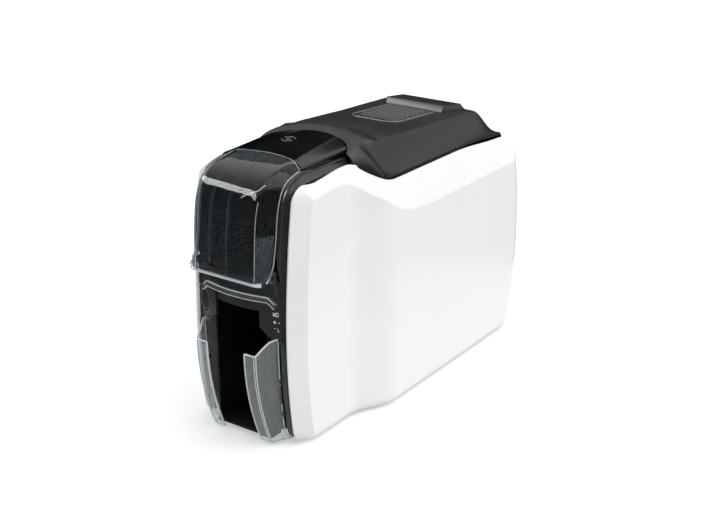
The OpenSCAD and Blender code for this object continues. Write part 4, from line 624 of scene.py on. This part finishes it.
def arc_mark(x, y, r, a0, a1, wire):
    """Arc of a ring that lies on the cap's flat middle."""
    a = np.radians(np.linspace(a0, a1, 17))
    py = y + r * np.sin(a)
    return tube(np.stack([x + r * np.cos(a), py, mix(250.8, 252.6, clamp01((py - CAP_Y0) / 71)) - 0.12 + 0 * a], -1), wire, 8)


cap_mark = [arc_mark(-11.4, -83.8, 6.2, 20, 160, 0.5), arc_mark(-11.4, -83.8, 6.2, 200, 340, 0.5),
            arc_mark(-11.4, -83.8, 1.6, 0, 360, 0.45)]
piece("cap_mark", joined(*cap_mark), grey_ink)


# Clear door over the hopper
DOOR_LINE = [
    [-189.2, 157.5, -186.5, 158.5], [-190.3, 160.5, -181, 163], [-190.6, 170, -175, 173],
    [-190.4, 182, -172.6, 184], [-189.6, 197, -170.3, 198], [-188.2, 210, -169, 210],
    [-185.8, 222, -167.2, 219], [-181.5, 232, -165, 226.5], [-174.5, 240, -161.5, 233.5],
    [-164, 245, -156.5, 239], [-150, 248, -149, 242.6], [-136, 249.6, -141.5, 244.6],
    [-123.2, 250.6, -136.6, 245.4]]
DOOR_X = [[0, -0.02], [0.22, -0.015], [0.42, 0], [0.6, 0.01], [0.7, 0.04], [0.76, 0.12], [0.82, 0.33],
          [0.9, 0.64], [1, 1]]


def door_middle(k):
    """The door's middle line and rear edge at a row k, and its normal in the middle plane."""
    knots = [[i, *row] for i, row in enumerate(DOOR_LINE)]
    line = curve_through(k, knots)
    step = curve_through(np.clip(k + 0.05, 0, 12), knots) - curve_through(np.clip(k - 0.05, 0, 12), knots)
    d = step[..., :2] / np.linalg.norm(step[..., :2], axis=-1, keepdims=True)
    return line, np.stack([d[..., 1], -d[..., 0]], -1)


def door_grid(inset, rows=110, columns=48):
    """Door: each row runs from one rear edge over the front to the other. The rear edge's share t of the
    way back grows past the front corners, and the top rows follow the cap's arched edge."""
    k = np.linspace(0, 12, rows + 1)[:, None]
    f = np.concatenate([np.linspace(0, 0.7, 22), np.linspace(0.71, 0.84, 14), np.linspace(0.86, 1, 12)])
    line, normal = door_middle(k)
    t = curve_through(f, DOOR_X)[None]
    ty = mix(t, f[None] ** 2, clamp01((k - 9) / 3))
    y, z = mix(line[..., 0], line[..., 2], ty), mix(line[..., 1], line[..., 3], t)
    x = curve_through(f, [[0, 0], [0.4, 17.37], [0.7, 30.2], [0.76, 32.4], [0.82, 34.9], [1, 42.6]])
    s = clamp01((f - 0.7) / 0.12)
    half = np.stack([x - inset * s + 0 * k, y + normal[..., 0] * inset * (1 - 0.7 * s),
                     z + normal[..., 1] * inset * (1 - 0.7 * s)], -1)
    return np.concatenate([half[:, :0:-1] * [-1, 1, 1], half], axis=1)


def door_rib(x):
    """Rib inside the door: a fin that grows from the sheet and fades at both ends."""
    k = np.linspace(1.4, 10.2, 40)
    line, normal = door_middle(k)
    grow = np.sin(np.pi * (k - 1.4) / 8.8)
    depth = CLEAR_T * 0.6 + 3.2 * grow
    root = line[:, :2] + normal * CLEAR_T * 0.5
    tip = line[:, :2] + normal * depth[:, None]
    corners = [(x - 0.4, root), (x + 0.4, root), (x + 0.25, tip), (x - 0.25, tip)]
    grid = np.stack([np.concatenate([np.full((40, 1), a), yz], 1) for a, yz in corners], 1)
    return closed_rows(grid)


def ear(x0, x1):
    """Ear on the door that carries its pin: a rounded plate on the inner side."""
    a = np.linspace(0, 2 * np.pi, 28, endpoint=False)
    radius = np.interp(np.degrees(a), [0, 60, 90, 130, 180, 230, 270, 320, 360], [4.3, 6, 7.2, 6.6, 5.4, 5, 4.2, 4.2, 4.3])
    yz = np.stack([DOOR_PIN[0] + radius * np.cos(a), DOOR_PIN[1] + radius * np.sin(a)], -1)
    grid = np.stack([np.concatenate([np.full((28, 1), x), yz], 1) for x in (x0, x1)])
    return closed_rows(grid)


ear_right = ear(40.9, 42.4)
door_face, door_back = door_grid(0), door_grid(CLEAR_T)
door = joined(shell(door_face, door_back, bow=0.2), ear_right, mirrored(ear_right))
piece("door_shell", door, clear_door, "door", ["input_door"], crease=32)
# The ribs' dark blue tint is painted shade.
piece("door_ribs", joined(door_rib(-14), door_rib(4)), rib_painted_shade, "door")
door_mid = (door_face + door_back) / 2
# Painted highlights: light tubes along the door's lip, edges and arched corner stand in for the reflections along them.
door_highlight_tubes = [tube(door_mid[0, 7:-7], 1.4), tube(door_mid[4, 8:-8], 0.6), tube(door_mid[-1, 2:-2], 0.55),
            tube(door_mid[4:-2:2, 0], 0.9), tube(door_mid[4:-2:2, -1], 0.6), tube(door_back[5:62:2, -20], 0.3),
            tube(door_mid[62:76, 58:76:][np.arange(14), np.linspace(0, 17, 14).astype(int)], 0.5)]
piece("door_edge_highlights", joined(*door_highlight_tubes), painted_highlight_edge, "door")
# Painted reflections: extra pale sheets just inside the door's sides stand in for the bright band on its left side and
# the grey-blue reflection at its lower right.
door_reflection_sheet_left = shell(door_back[4:-6, 1:14] + [0.15, 0, 0], door_back[4:-6, 1:14] + [0.6, 0, 0], bow=0.1)
door_reflection_sheet_right = mirrored(shell(door_back[4:38, 1:20] + [0.15, 0, 0], door_back[4:38, 1:20] + [0.6, 0, 0], bow=0.1))
piece("door_reflection_left", door_reflection_sheet_left, painted_reflection_haze, "door")
piece("door_reflection_right", door_reflection_sheet_right, clear_wing, "door")


# Clear wings of the bin
WING_PLAN = [[0, 41.8, 0, 1], [1, 41.0, 0.16, 1], [2, 39.0, 0.3, 0.94], [3, 35.7, 0.62, 0.5], [4, 33.9, 0.88, 0.12],
             [5, 32.6, 0.97, 0], [6, 27.0, 1, 0], [7, 21.0, 1, 0]]


def wing_grid(inset):
    """Wing: its plan runs from the flange along the slanted side to the lip turned inwards. The front
    leans back towards the floor, and the top edge rises towards the flange."""
    i = np.concatenate([np.linspace(0, 4, 30), np.linspace(4.1, 5.4, 16), np.linspace(5.5, 7, 12)])
    v = crowded(60)[None]
    x, lead, rise = (curve_through(i, [[r[0], r[c]] for r in WING_PLAN])[:, None] for c in (1, 2, 3))
    turn = ease((i[:, None] - 4.1) / 1.2)
    z = mix(3.6, 93.5 + 11 * rise, v)
    front = Y_NOSE + 0.0024 * np.maximum(93.5 - z, 0) ** 2
    root = front_y(z) - 0.4 + corner(z - COVER_Z0, 13)
    y = mix(root, front, lead)
    return np.stack([x - inset * (1 - turn) + 0 * z, y + inset * turn, z], -1)


wing_face, wing_back = wing_grid(0), wing_grid(CLEAR_T)
wing_mid = (wing_face + wing_back) / 2
# Painted highlights: light tubes along the wing's edges, fold and flange stand in for the bright lines reflected along
# them.
wing_highlight_tubes = [tube(wing_mid[-1, 1:-1], 0.95), tube(wing_mid[45, 1:-1], 0.5), tube(wing_mid[37, 1:-1], 0.55),
            tube(wing_mid[1:, -1], 0.75), tube(wing_mid[:, 0], 0.8), tube(wing_mid[0, 6:26], 0.7),
            tube(wing_mid[0, 33:57], 0.7)]
clip = [round_box(39.8, 42.4, float(front_y(np.array(z))) - 1.4, float(front_y(np.array(z))) + 3.2, z - 2, z + 2, 0.4)
        for z in (32.0, 65.0)]
wing = shell(wing_face, wing_back, bow=0.3)
piece("wing_right", wing, clear_wing, replaced=["output_wing_right"], crease=32)
piece("wing_left", mirrored(wing), clear_wing, replaced=["output_wing_left"], crease=32)
piece("wing_highlight_right", joined(*wing_highlight_tubes), painted_highlight_edge)
piece("wing_highlight_left", mirrored(joined(*wing_highlight_tubes)), painted_highlight_edge)
piece("wing_clips", joined(*clip, *[mirrored(c) for c in clip]), bezel_dark)


# Clear bar over the mouth
def mouth_bar():
    """Three lengths of a clear bar that follows the front's plan, with ends that bend down."""
    section = np.array([[-2.7, -2.4], [-2.9, -1.6], [-2.9, 1.5], [-2.4, 2.5], [-1.2, 2.9], [0.1, 2.9], [0.1, -2.4]])
    parts = []
    for x0, x1 in ((-39.5, -11.8), (-11.2, 11.2), (11.8, 39.5)):
        x = np.linspace(x0, x1, 26)
        drop = 5.5 * ease((np.abs(x) - 32) / 8) ** 1.2
        places = np.stack([x, bulge(x), 139.8 - drop], -1)
        ahead = np.gradient(places, axis=0)
        ahead /= np.linalg.norm(ahead, axis=1, keepdims=True)
        side = np.stack([-ahead[:, 1], ahead[:, 0], 0 * x], -1)
        side /= np.linalg.norm(side, axis=1, keepdims=True)
        parts.append(carried(section, places, ahead, side, np.cross(ahead, side)))
    return joined(*parts)


def bar_highlight_rod(r, out, rise):
    """Painted highlight along the bar: a thin light rod at a place of its section, standing in for a bright edge
    reflection.
    """
    x = np.linspace(-39.3, 39.3, 60)
    return tube(np.stack([x, bulge(x) + out, 139.8 + rise - 5.5 * ease((np.abs(x) - 32) / 8) ** 1.2], -1), r, 8)


piece("bar_edge_highlights", joined(bar_highlight_rod(0.55, -2.3, 2.5), bar_highlight_rod(0.4, -2.6, -2.1)), painted_highlight_edge)
piece("mouth_bar", mouth_bar(), clear_wing, replaced=["exit_bar"], crease=32)


# Button, marks and lamps
def button():
    """Oval button: rings of a stadium that shrink as they rise to a soft dome, and its stem."""
    a = np.linspace(0, 2 * np.pi, 60, endpoint=False)
    rows = []
    for size, y in ((1.0, 3.6), (1.0, 0.9), (0.97, 0.35), (0.9, 0.05), (0.75, -0.12), (0.45, -0.22), (0.1, -0.25)):
        r = 5 * size
        x = r * np.cos(a)
        z = r * np.sin(a) + np.where(np.sin(a) >= 0, 5, -5) * min(1.0, size + 0.1)
        rows.append(np.stack([-40.4 + x, float(bulge(-40.4)) + 0.9 + y + 0 * x, 120.7 + z], -1))
    stem = tube(np.stack([np.full(4, -40.4), float(bulge(-40.4)) + np.linspace(4.2, 5.4, 4), np.full(4, 120.7)], -1), 1.6)
    return joined(closed_rows(np.array(rows)), stem)


piece("button_cap", button(), button_dark, "button", ["power_button"])
# Painted highlight: a light grey ring round the button stands in for the highlight on its edge.
a = np.linspace(0, 2 * np.pi, 61)
oval = np.stack([-40.4 + 5.9 * np.cos(a), bulge(-40.4 + 5.9 * np.cos(a)) + 0.1, 120.7 + 5.9 * np.sin(a) + np.where(np.sin(a) >= 0, 5, -5)], -1)
piece("button_ring_highlight", tube(oval, 0.35, 8), painted_highlight_grey)


def ring_mark(x, z, r, wire, on):
    a = np.linspace(0, 2 * np.pi, 25)
    return tube(np.stack([x + r * np.cos(a), on(x) + 0 * a, z + r * np.sin(a)], -1), wire, 6)


def on_cheek(x):
    return float(bulge(x)) - 0.02


def plate_mark(x0, x1, z0, z1, r=0.3):
    """Small raised mark on the right cheek, with a foot inside the wall."""
    x0, x1, z0, z1 = x0 - 1.4, x1 - 1.4, z0 + 0.8, z1 + 0.8
    y = on_cheek((x0 + x1) / 2)
    return round_box(x0, x1, y, y + 3.2, z0, z1, r)


marks = [plate_mark(37.6, 38.3, 124.2, 127.8), plate_mark(42.0, 42.7, 124.2, 127.8), plate_mark(37.6, 42.7, 127.2, 127.9),
         plate_mark(37.6, 42.7, 124.1, 124.8), plate_mark(39.3, 41.0, 125.4, 126.6),
         plate_mark(37.4, 40.0, 117.4, 119.8, 1.0), plate_mark(40.8, 43.4, 118.2, 119.0),
         plate_mark(39.9, 42.9, 110.2, 111.0), plate_mark(40.9, 41.9, 111.4, 113.4, 0.4), plate_mark(38.2, 39.2, 112.2, 113.2, 0.4)]
piece("status_marks", joined(*marks), mark_white, replaced=["status_lenses"])


# Lid
LID_RIDGE = [[-50, -3.6], [-44, -0.9], [-36, 0], [-28, -1.2], [-20, -4], [-8, -4.3], [6, -5.4], [33, -7.6],
             [49, -9], [77, -10.6], [104, -12.2], [133, -14.2], [140, -17.6], [147, -23], [153.5, -28.8],
             [161, -36], [168.5, -46]]


def lid_top(y):
    return TOP + curve_through(y, LID_RIDGE)


def lid_edge_x(y):
    return side_x(y) - edge_in(y) - WALL - 2


def lid_grid(inset, rows=150):
    """Lid: f runs from the middle to the edge. The front rows are an arch over the full width that
    leans forward towards the covers; further back a wide flat top ends in a crease at f 0.6, and a
    hollow flank falls from it to the covers with the power 1.7."""
    s = np.linspace(0, 1, rows + 1)[:, None]
    s = s - 0.09 * np.sin(2 * np.pi * s)
    f = np.concatenate([np.linspace(0, 0.5, 20), np.linspace(0.515, 0.66, 18), np.linspace(0.675, 0.9, 20),
                        np.linspace(0.92, 1, 5)])[None]
    points = 0
    for shift, share in ((-0.012, 0.25), (0, 0.5), (0.012, 0.25)):
        g = np.where(f < 0.88, np.clip(f + shift, 0, 0.9), f)
        yc = mix(LID_Y0, LID_Y1, s)
        reach = LID_ARCH * np.minimum((lid_edge_x(yc - 26) * g / 0.9 / 45) ** 2, 1.12) * (1 - s) ** 3
        ye = yc - reach
        xe, zt = lid_edge_x(ye), lid_top(yc) + 0 * g
        ze = np.minimum(top_z(ye) + 1.6, zt - 1)
        arch = 1 - ease((yc + 40) / 18)
        xp = np.minimum(50, xe - 9)
        zp = np.maximum(zt - mix(2.6, 0.8, clamp01((yc + 8) / 140)), ze)
        xa = np.where(g < 0.9, xe * g / 0.9, xe)
        za = ze + (zt - ze) * np.maximum(1 - (xa / xe) ** 4.5, 0) ** 0.5
        t = clamp01((g - 0.6) / 0.3)
        xb = np.where(g < 0.6, xp * g / 0.6, mix(xp, xe, t))
        zb = np.where(g < 0.6, zt + (zp - zt) * (g / 0.6) ** 2.5, ze + (zp - ze) * (1 - t) ** 1.7)
        z = np.where(g > 0.95, np.minimum(ze, zt) - 2.4, mix(zb, za, arch))
        y = mix(LID_Y0 + inset, LID_Y1 - inset, s) - reach
        points = points + share * np.stack([
            mix(xb, xa, arch) - inset * clamp01(g * 7 - 3.2), y,
            z - np.where(g > 0.95, 0, inset * (1.25 - 0.5 * g))], -1)
    return np.concatenate([points[:, :0:-1] * [-1, 1, 1], points], axis=1)


def latch_outline(inset, n=12):
    """Outline of the latch plate in plan, inset by a distance: round front corners, square back ones."""
    hw, r = LATCH_HALF - inset, 12.0 - inset
    y0, y1 = LATCH_Y0 + inset, LATCH_Y1 - max(inset, 0)
    a = np.radians(np.linspace(180, 270, n))
    left = np.stack([-hw + r + r * np.cos(a), y0 + r + r * np.sin(a)], -1)
    return np.vstack([[[-hw, y1]], left, left[::-1] * [-1, 1], [[hw, y1]]])


def latch_face(y):
    return mix(LATCH_FRONT_Z, LATCH_BACK_Z, (y - LATCH_Y0) / (LATCH_Y1 - LATCH_Y0))


def cut_with(obj, cutter_part):
    """Takes a closed cutter out of a piece and keeps the result as its mesh."""
    verts, quads = cutter_part
    mesh = bpy.data.meshes.new("cutter")
    mesh.from_pydata((verts * MM).tolist(), [], [list(dict.fromkeys(q)) for q in quads.tolist()])
    cutter = bpy.data.objects.new("cutter", mesh)
    bpy.context.scene.collection.objects.link(cutter)
    cut = obj.modifiers.new("cut", "BOOLEAN")
    cut.object = cutter
    cut.solver = "EXACT"
    bpy.context.view_layer.update()
    done = bpy.data.meshes.new_from_object(obj.evaluated_get(bpy.context.evaluated_depsgraph_get()))
    obj.modifiers.clear()
    obj.data = done
    bpy.data.objects.remove(cutter)
    finish_mesh(done, 34)


lid = piece("lid_shell", shell(lid_grid(0), lid_grid(WALL), bow=0.2), lid_black, "lid", ["top_lid"], crease=34)
hole = latch_outline(-0.5)
hole[:, 1] = np.where(hole[:, 1] < 60, hole[:, 1] - 0.8, hole[:, 1])
cut_with(lid, closed_rows(np.stack([np.column_stack([hole, np.full(len(hole), z)]) for z in (228.0, 262.0)])))


def wedge():
    """Wedge behind the latch: a rounded block drawn over the wedge's faces, so that its top slopes
    back, its front leans and its sides spread towards the foot."""
    verts, quads = round_box(-1, 1, 0, 1, 0, 1, 0.04, 5)
    u, v, w = verts[:, 0], verts[:, 1], verts[:, 2]
    y = mix(mix(98, 104, w), mix(141, 134, w), v)
    low = np.interp(y, [98, 141], [241.0, 236.0]) - 2
    z = mix(low, mix(248.5, 244.8, v), w)
    x = u * mix(mix(33, 40, v), 34, w)
    return np.column_stack([x, y, z]), quads


piece("lid_wedge", wedge(), lid_black, "lid")
well = [round_box(-31, 31, 24.5, 99.3, 230.2, 232, 0.4), round_box(29.2, 31, 24.5, 99.3, 230.4, 240.5, 0.4),
        round_box(-31, -29.2, 24.5, 99.3, 230.4, 240.5, 0.4), round_box(-31, 31, 24.0, 25.6, 230.4, 242.5, 0.4),
        round_box(-31, 31, 97.6, 99.3, 230.4, 239.5, 0.4)]
piece("latch_well", joined(*well), inner_black, "lid")


# Painted highlight: a light grey bead round the latch opening stands in for the highlight on the plate's rolled edge.
rim_line = latch_outline(-2.2, 16)
rim_line = np.column_stack([rim_line, lid_top(rim_line[:, 1]) - 2.6 * (np.abs(rim_line[:, 0]) / 60) ** 2 - 0.1])
piece("latch_rim_highlight", tube(rim_line, 0.9, 10), painted_highlight_grey, "lid")


def latch_grid():
    """Latch plate: rows over its rounded outline, a rolled rim, and six ribs that rise slowly and drop
    fast, fading near the rim."""
    y = mix(LATCH_Y0, LATCH_Y1, crowded(180))[:, None]
    r = 12.0
    half = LATCH_HALF - np.where(y - LATCH_Y0 < r, r - np.sqrt(np.maximum(r * r - (r - (y - LATCH_Y0)) ** 2, 0)), 0)
    x = half * (2 * crowded(70) - 1)[None]
    cx, cy = np.abs(x) - (LATCH_HALF - r), (LATCH_Y0 + r) - y
    d = np.where((cx > 0) & (cy > 0), r - np.hypot(np.maximum(cx, 0), np.maximum(cy, 0)),
                 np.minimum(LATCH_HALF - np.abs(x), y - LATCH_Y0))
    d = np.minimum(d, LATCH_Y1 - y)
    k = (y - LATCH_Y0 - 11) / 9
    frac = k - np.floor(k)
    rib = np.where((k > 0) & (k < 6), ease(frac / 0.7) * (1 - ease((frac - 0.74) / 0.26)), 0)
    z = latch_face(y) + 2.1 * rib * ease((d - 2.6) / 2) + 0.6 * np.exp(-((d - 1.2) / 0.7) ** 2) - 0.7 * (1 - ease(d / 0.9))
    outer = np.stack([x, y + 0 * x, z], -1)
    inner = np.stack([x * 0.985, y + 0 * x, latch_face(y) - 2.2 + 0 * x], -1)
    return shell(outer, inner, bow=0.0, steps=1)


PIVOT = (93.0, 236.4)
arms = [round_box(s * 17 - 2, s * 17 + 2, 90, 96, 235.4, 240.6, 0.4) for s in (-1, 1)]
latch = joined(latch_grid(), *arms, rod(*PIVOT, -27, 27, 1.5))
piece("latch_plate", latch, latch_dark, "latch", ["lid_latch"])
# Painted highlights: light grey rods along the ribs' crests stand in for the light they catch.
crest_highlights = [tube(np.stack([np.linspace(-20.5, 20.5, 12), np.full(12, y), np.full(12, latch_face(y) + 1.85)], -1), 0.4, 8)
          for y in LATCH_Y0 + 11 + 9 * (np.arange(6) + 0.72)]
piece("latch_crest_highlights", joined(*crest_highlights), painted_highlight_grey, "latch")


# Softened copies of the plainer mouldings
softened("bezel_frame", "front_bezel", bezel_dark, 0.7, 3)
softened("lower_face", "lower_front", bezel_dark, 0.5, 2)
softened("bin_tray", "output_bin", inner_black, 0.4)
softened("hopper_well", "card_hopper", hopper_dark, 0.3)
softened("rear_cover", "rear_panel", lid_black, 0.4)
softened("inlet_socket", "power_inlet", inner_black, 0.3)
softened("port_sockets", "data_ports", can_steel, 0.3)
softened("base_pan", "base_tray", lid_black, 0.5)
softened("foot_pads", "rubber_feet", rubber, 0.4)
softened("press_weight", "card_weight", hopper_dark, 0.5)


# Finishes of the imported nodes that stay
def dress(material, *nodes):
    for node in nodes:
        mesh = frame["nodes"][node].data
        if not mesh.materials:
            mesh.materials.append(material)
        for k in range(len(mesh.materials)):
            mesh.materials[k] = material


def roller_finish(name, axis, radius, tyre_x, stuff=TYRE):
    return zoned(name, STEEL, [(axis, 3.05, *tyre_x, stuff), (axis, 3.05, *GEAR_X, GEAR)])


def board_finish(name, x_face):
    """Printed board: green lacquer with a net of paler tracks, and what stands on it dark or pale by
    its place."""
    mat = finish(name, [(0.012, 0.11, 0.05), (0.016, 0.13, 0.06)], (0.25, 0.35), 40, 1200, 0.05)
    tree = mat.node_tree
    bsdf = tree.nodes["Principled BSDF"]
    coord = tree.nodes.new("ShaderNodeTexCoord")
    brick = tree.nodes.new("ShaderNodeTexBrick")
    for label, value in (("Color1", (0.012, 0.11, 0.05, 1)), ("Color2", (0.014, 0.12, 0.055, 1)),
                         ("Mortar", (0.05, 0.26, 0.13, 1)), ("Scale", 60), ("Mortar Size", 0.018)):
        brick.inputs[label].default_value = value
    turn = tree.nodes.new("ShaderNodeMapping")
    turn.inputs["Rotation"].default_value = (0, math.pi / 2, 0)
    split = tree.nodes.new("ShaderNodeSeparateXYZ")
    link_all(tree, [(coord.outputs["Object"], turn.inputs["Vector"]), (turn.outputs[0], brick.inputs["Vector"]),
                    (coord.outputs["Object"], split.inputs[0])])
    raised = math_node(tree, "GREATER_THAN", split.outputs["X"], x_face * MM)
    pale = math_node(tree, "GREATER_THAN", split.outputs["Z"], 0.09)
    stuff = mix_colour(tree, pale, grey(0.02), grey(0.7))
    tree.links.new(mix_colour(tree, raised, brick.outputs["Color"], stuff), bsdf.inputs["Base Color"])
    return mat


dress(bright_steel, "door_pins", "hinge_pin")
dress(board_finish("main_board_lacquer", -52.8), "main_board")
dress(board_finish("front_board_lacquer", 90.0), "front_board")
dress(sheet_steel, "chassis_plate_right", "chassis_plate_left", "latch_hooks", "printhead_bracket")
dress(bright_steel, "tie_bars", "cover_screws")
dress(bronze, "shaft_bushes")
dress(inner_black, "latch_bearings", "lid_knuckles", "card_guides", "gate_flap")
dress(acetal, "motor_idler", "front_idler", "feed_idler", "pick_idler", "exit_idler", "ribbon_drive")
dress(motor_black, "drive_motor")
dress(can_steel, "ribbon_motor")
dress(cassette_blue, "ribbon_cassette")
dress(brass, "board_standoffs")
dress(finish("ribbon_foil", FILM[0], (0.1, 0.2), 60, 900, 0.05), "ribbon_film")
dress(roller_finish("pick_roller_finish", (-120, 152.6), 9, PAIR_X), "pick_roller")
dress(roller_finish("feed_roller_finish", (-64, 154.5), 6.5, PAIR_X), "feed_roller")
dress(roller_finish("front_roller_finish", (-10, 154.5), 6.5, (0, 26.5)), "front_roller")
dress(roller_finish("platen_roller_finish", (50, 152), 9, (0, 29)), "platen_roller")
dress(roller_finish("exit_roller_finish", (-90.1, 92.5), 6.5, PAIR_X), "exit_roller")
for name, axis in (("feed_pinch", (-64, 167.06)), ("front_pinch", (-10, 167.06)), ("exit_pinch", (-90.1, 105.06))):
    dress(zoned(name + "_finish", STEEL, [(axis, 2.05, *PAIR_X, SOFT_TYRE)]), name)
dress(zoned("motor_pinion_finish", STEEL, [((51.5, 102.6), 2.6, *GEAR_X, BRASS)]), "motor_pinion")
dress(zoned("ribbon_pinion_finish", STEEL, [((114.2, 170.8), 1.6, *GEAR_X, BRASS)]), "ribbon_pinion")
for name, axis in (("supply_spool", (-12, 198)), ("takeup_spool", (108, 194))):
    dress(zoned(name + "_finish", CORE, [(axis, 6.7, 0, 27.6, FILM)]), name)
dress(ceramic, "printhead")


# Stage: a white floor that keeps the shadow, and a white world for what looks past it
def stage_plane(name, size, corners=None):
    mesh = bpy.data.meshes.new(name)
    h = size / 2
    mesh.from_pydata(corners or [(-h, -h, 0), (h, -h, 0), (h, h, 0), (-h, h, 0)], [], [(0, 1, 2, 3)])
    obj = bpy.data.objects.new(name, mesh)
    bpy.context.scene.collection.objects.link(obj)
    return obj


def seen_ray(tree):
    """1 for rays that see the background as such: camera, glossy and transmission rays."""
    path = tree.nodes.new("ShaderNodeLightPath")
    both = math_node(tree, "MAXIMUM", path.outputs["Is Camera Ray"], path.outputs["Is Glossy Ray"])
    return math_node(tree, "MAXIMUM", both, path.outputs["Is Transmission Ray"])


def floor_finish():
    mat = bpy.data.materials.new("white_table")
    mat.use_nodes = True
    tree = mat.node_tree
    bsdf = tree.nodes["Principled BSDF"]
    bsdf.inputs["Base Color"].default_value = (0.75, 0.75, 0.75, 1)
    bsdf.inputs["Roughness"].default_value = 0.9
    bsdf.inputs["Specular IOR Level"].default_value = 0.0
    bsdf.inputs["Emission Color"].default_value = (1, 1, 1, 1)
    tree.links.new(math_node(tree, "MULTIPLY", seen_ray(tree), 0.42), bsdf.inputs["Emission Strength"])
    return mat


floor = stage_plane("table", 14.0)
floor.data.materials.append(floor_finish())


def dark_screen(name, rings, turn):
    """Black screen round the set, seen by glossy rays alone: a strip between two rings, which are
    (radius, height), over a turn in degrees."""
    a = np.radians(np.linspace(*turn, 25))
    verts, faces = [], []
    for k, (r, z) in enumerate(rings):
        verts += np.stack([r * np.cos(a), r * np.sin(a), z + 0 * a], -1).tolist()
        if k:
            low = (k - 1) * 25
            faces += [(low + i, low + i + 1, low + 26 + i, low + 25 + i) for i in range(24)]
    mesh = bpy.data.meshes.new(name)
    mesh.from_pydata(verts, [], faces)
    screen = bpy.data.objects.new(name, mesh)
    bpy.context.scene.collection.objects.link(screen)
    mat = bpy.data.materials.new(name)
    mat.use_nodes = True
    bsdf = mat.node_tree.nodes["Principled BSDF"]
    bsdf.inputs["Base Color"].default_value = (0, 0, 0, 1)
    bsdf.inputs["Specular IOR Level"].default_value = 0.0
    mesh.materials.append(mat)
    screen.visible_camera = screen.visible_diffuse = screen.visible_transmission = screen.visible_shadow = False


dark_screen("black_floor_card", [(0.36, 0.004), (2.3, 0.004)], (0, 360))
dark_screen("black_wall_card", [(2.3, 0.004), (2.3, 1.5)], (74, 396))

world = bpy.data.worlds.new("studio")
bpy.context.scene.world = world
world.use_nodes = True
sky = world.node_tree.nodes["Background"]
sky.inputs["Color"].default_value = (1, 1, 1, 1)
AMBIENT = 0.67
strength = math_node(world.node_tree, "ADD", math_node(world.node_tree, "MULTIPLY", seen_ray(world.node_tree), 1 - AMBIENT), AMBIENT)
world.node_tree.links.new(strength, sky.inputs["Strength"])


def lamp(name, kind, energy, place, aim, **settings):
    light = bpy.data.lights.new(name, kind)
    light.energy = energy
    for label, value in settings.items():
        setattr(light, label, value)
    obj = bpy.data.objects.new(name, light)
    obj.location = place
    obj.rotation_euler = (Vector(place) - Vector(aim)).to_track_quat("Z", "Y").to_euler()
    bpy.context.scene.collection.objects.link(obj)
    return obj


lamp("key_sky", "SUN", 1.2, (0.8, 0.35, 2.0), (0, 0, 0.1), angle=math.radians(60))
lamp("side_fill", "AREA", 6.0, (1.6, 0.5, 0.9), (0, 0, 0.12), shape="RECTANGLE", size=1.6, size_y=1.2)
strip = lamp("front_strip", "AREA", 26.0, (-0.644, -0.842, 0.991), (0, -0.17, 0.235), shape="RECTANGLE", size=1.6, size_y=0.28)
strip.visible_diffuse = strip.visible_transmission = False

# Camera at the photograph's angle
BACK = Vector((0.53745, -0.75934, 0.36683))
camera = bpy.data.cameras.new("camera")
camera.sensor_width = 36
camera.lens = 65.05
eye = bpy.data.objects.new("camera", camera)
eye.matrix_world = Matrix.Translation((0.66068, -0.93480, 0.55977)) @ BACK.to_track_quat("Z", "Y").to_matrix().to_4x4()
bpy.context.scene.collection.objects.link(eye)
bpy.context.scene.camera = eye
bpy.context.scene.view_settings.view_transform = "Standard"
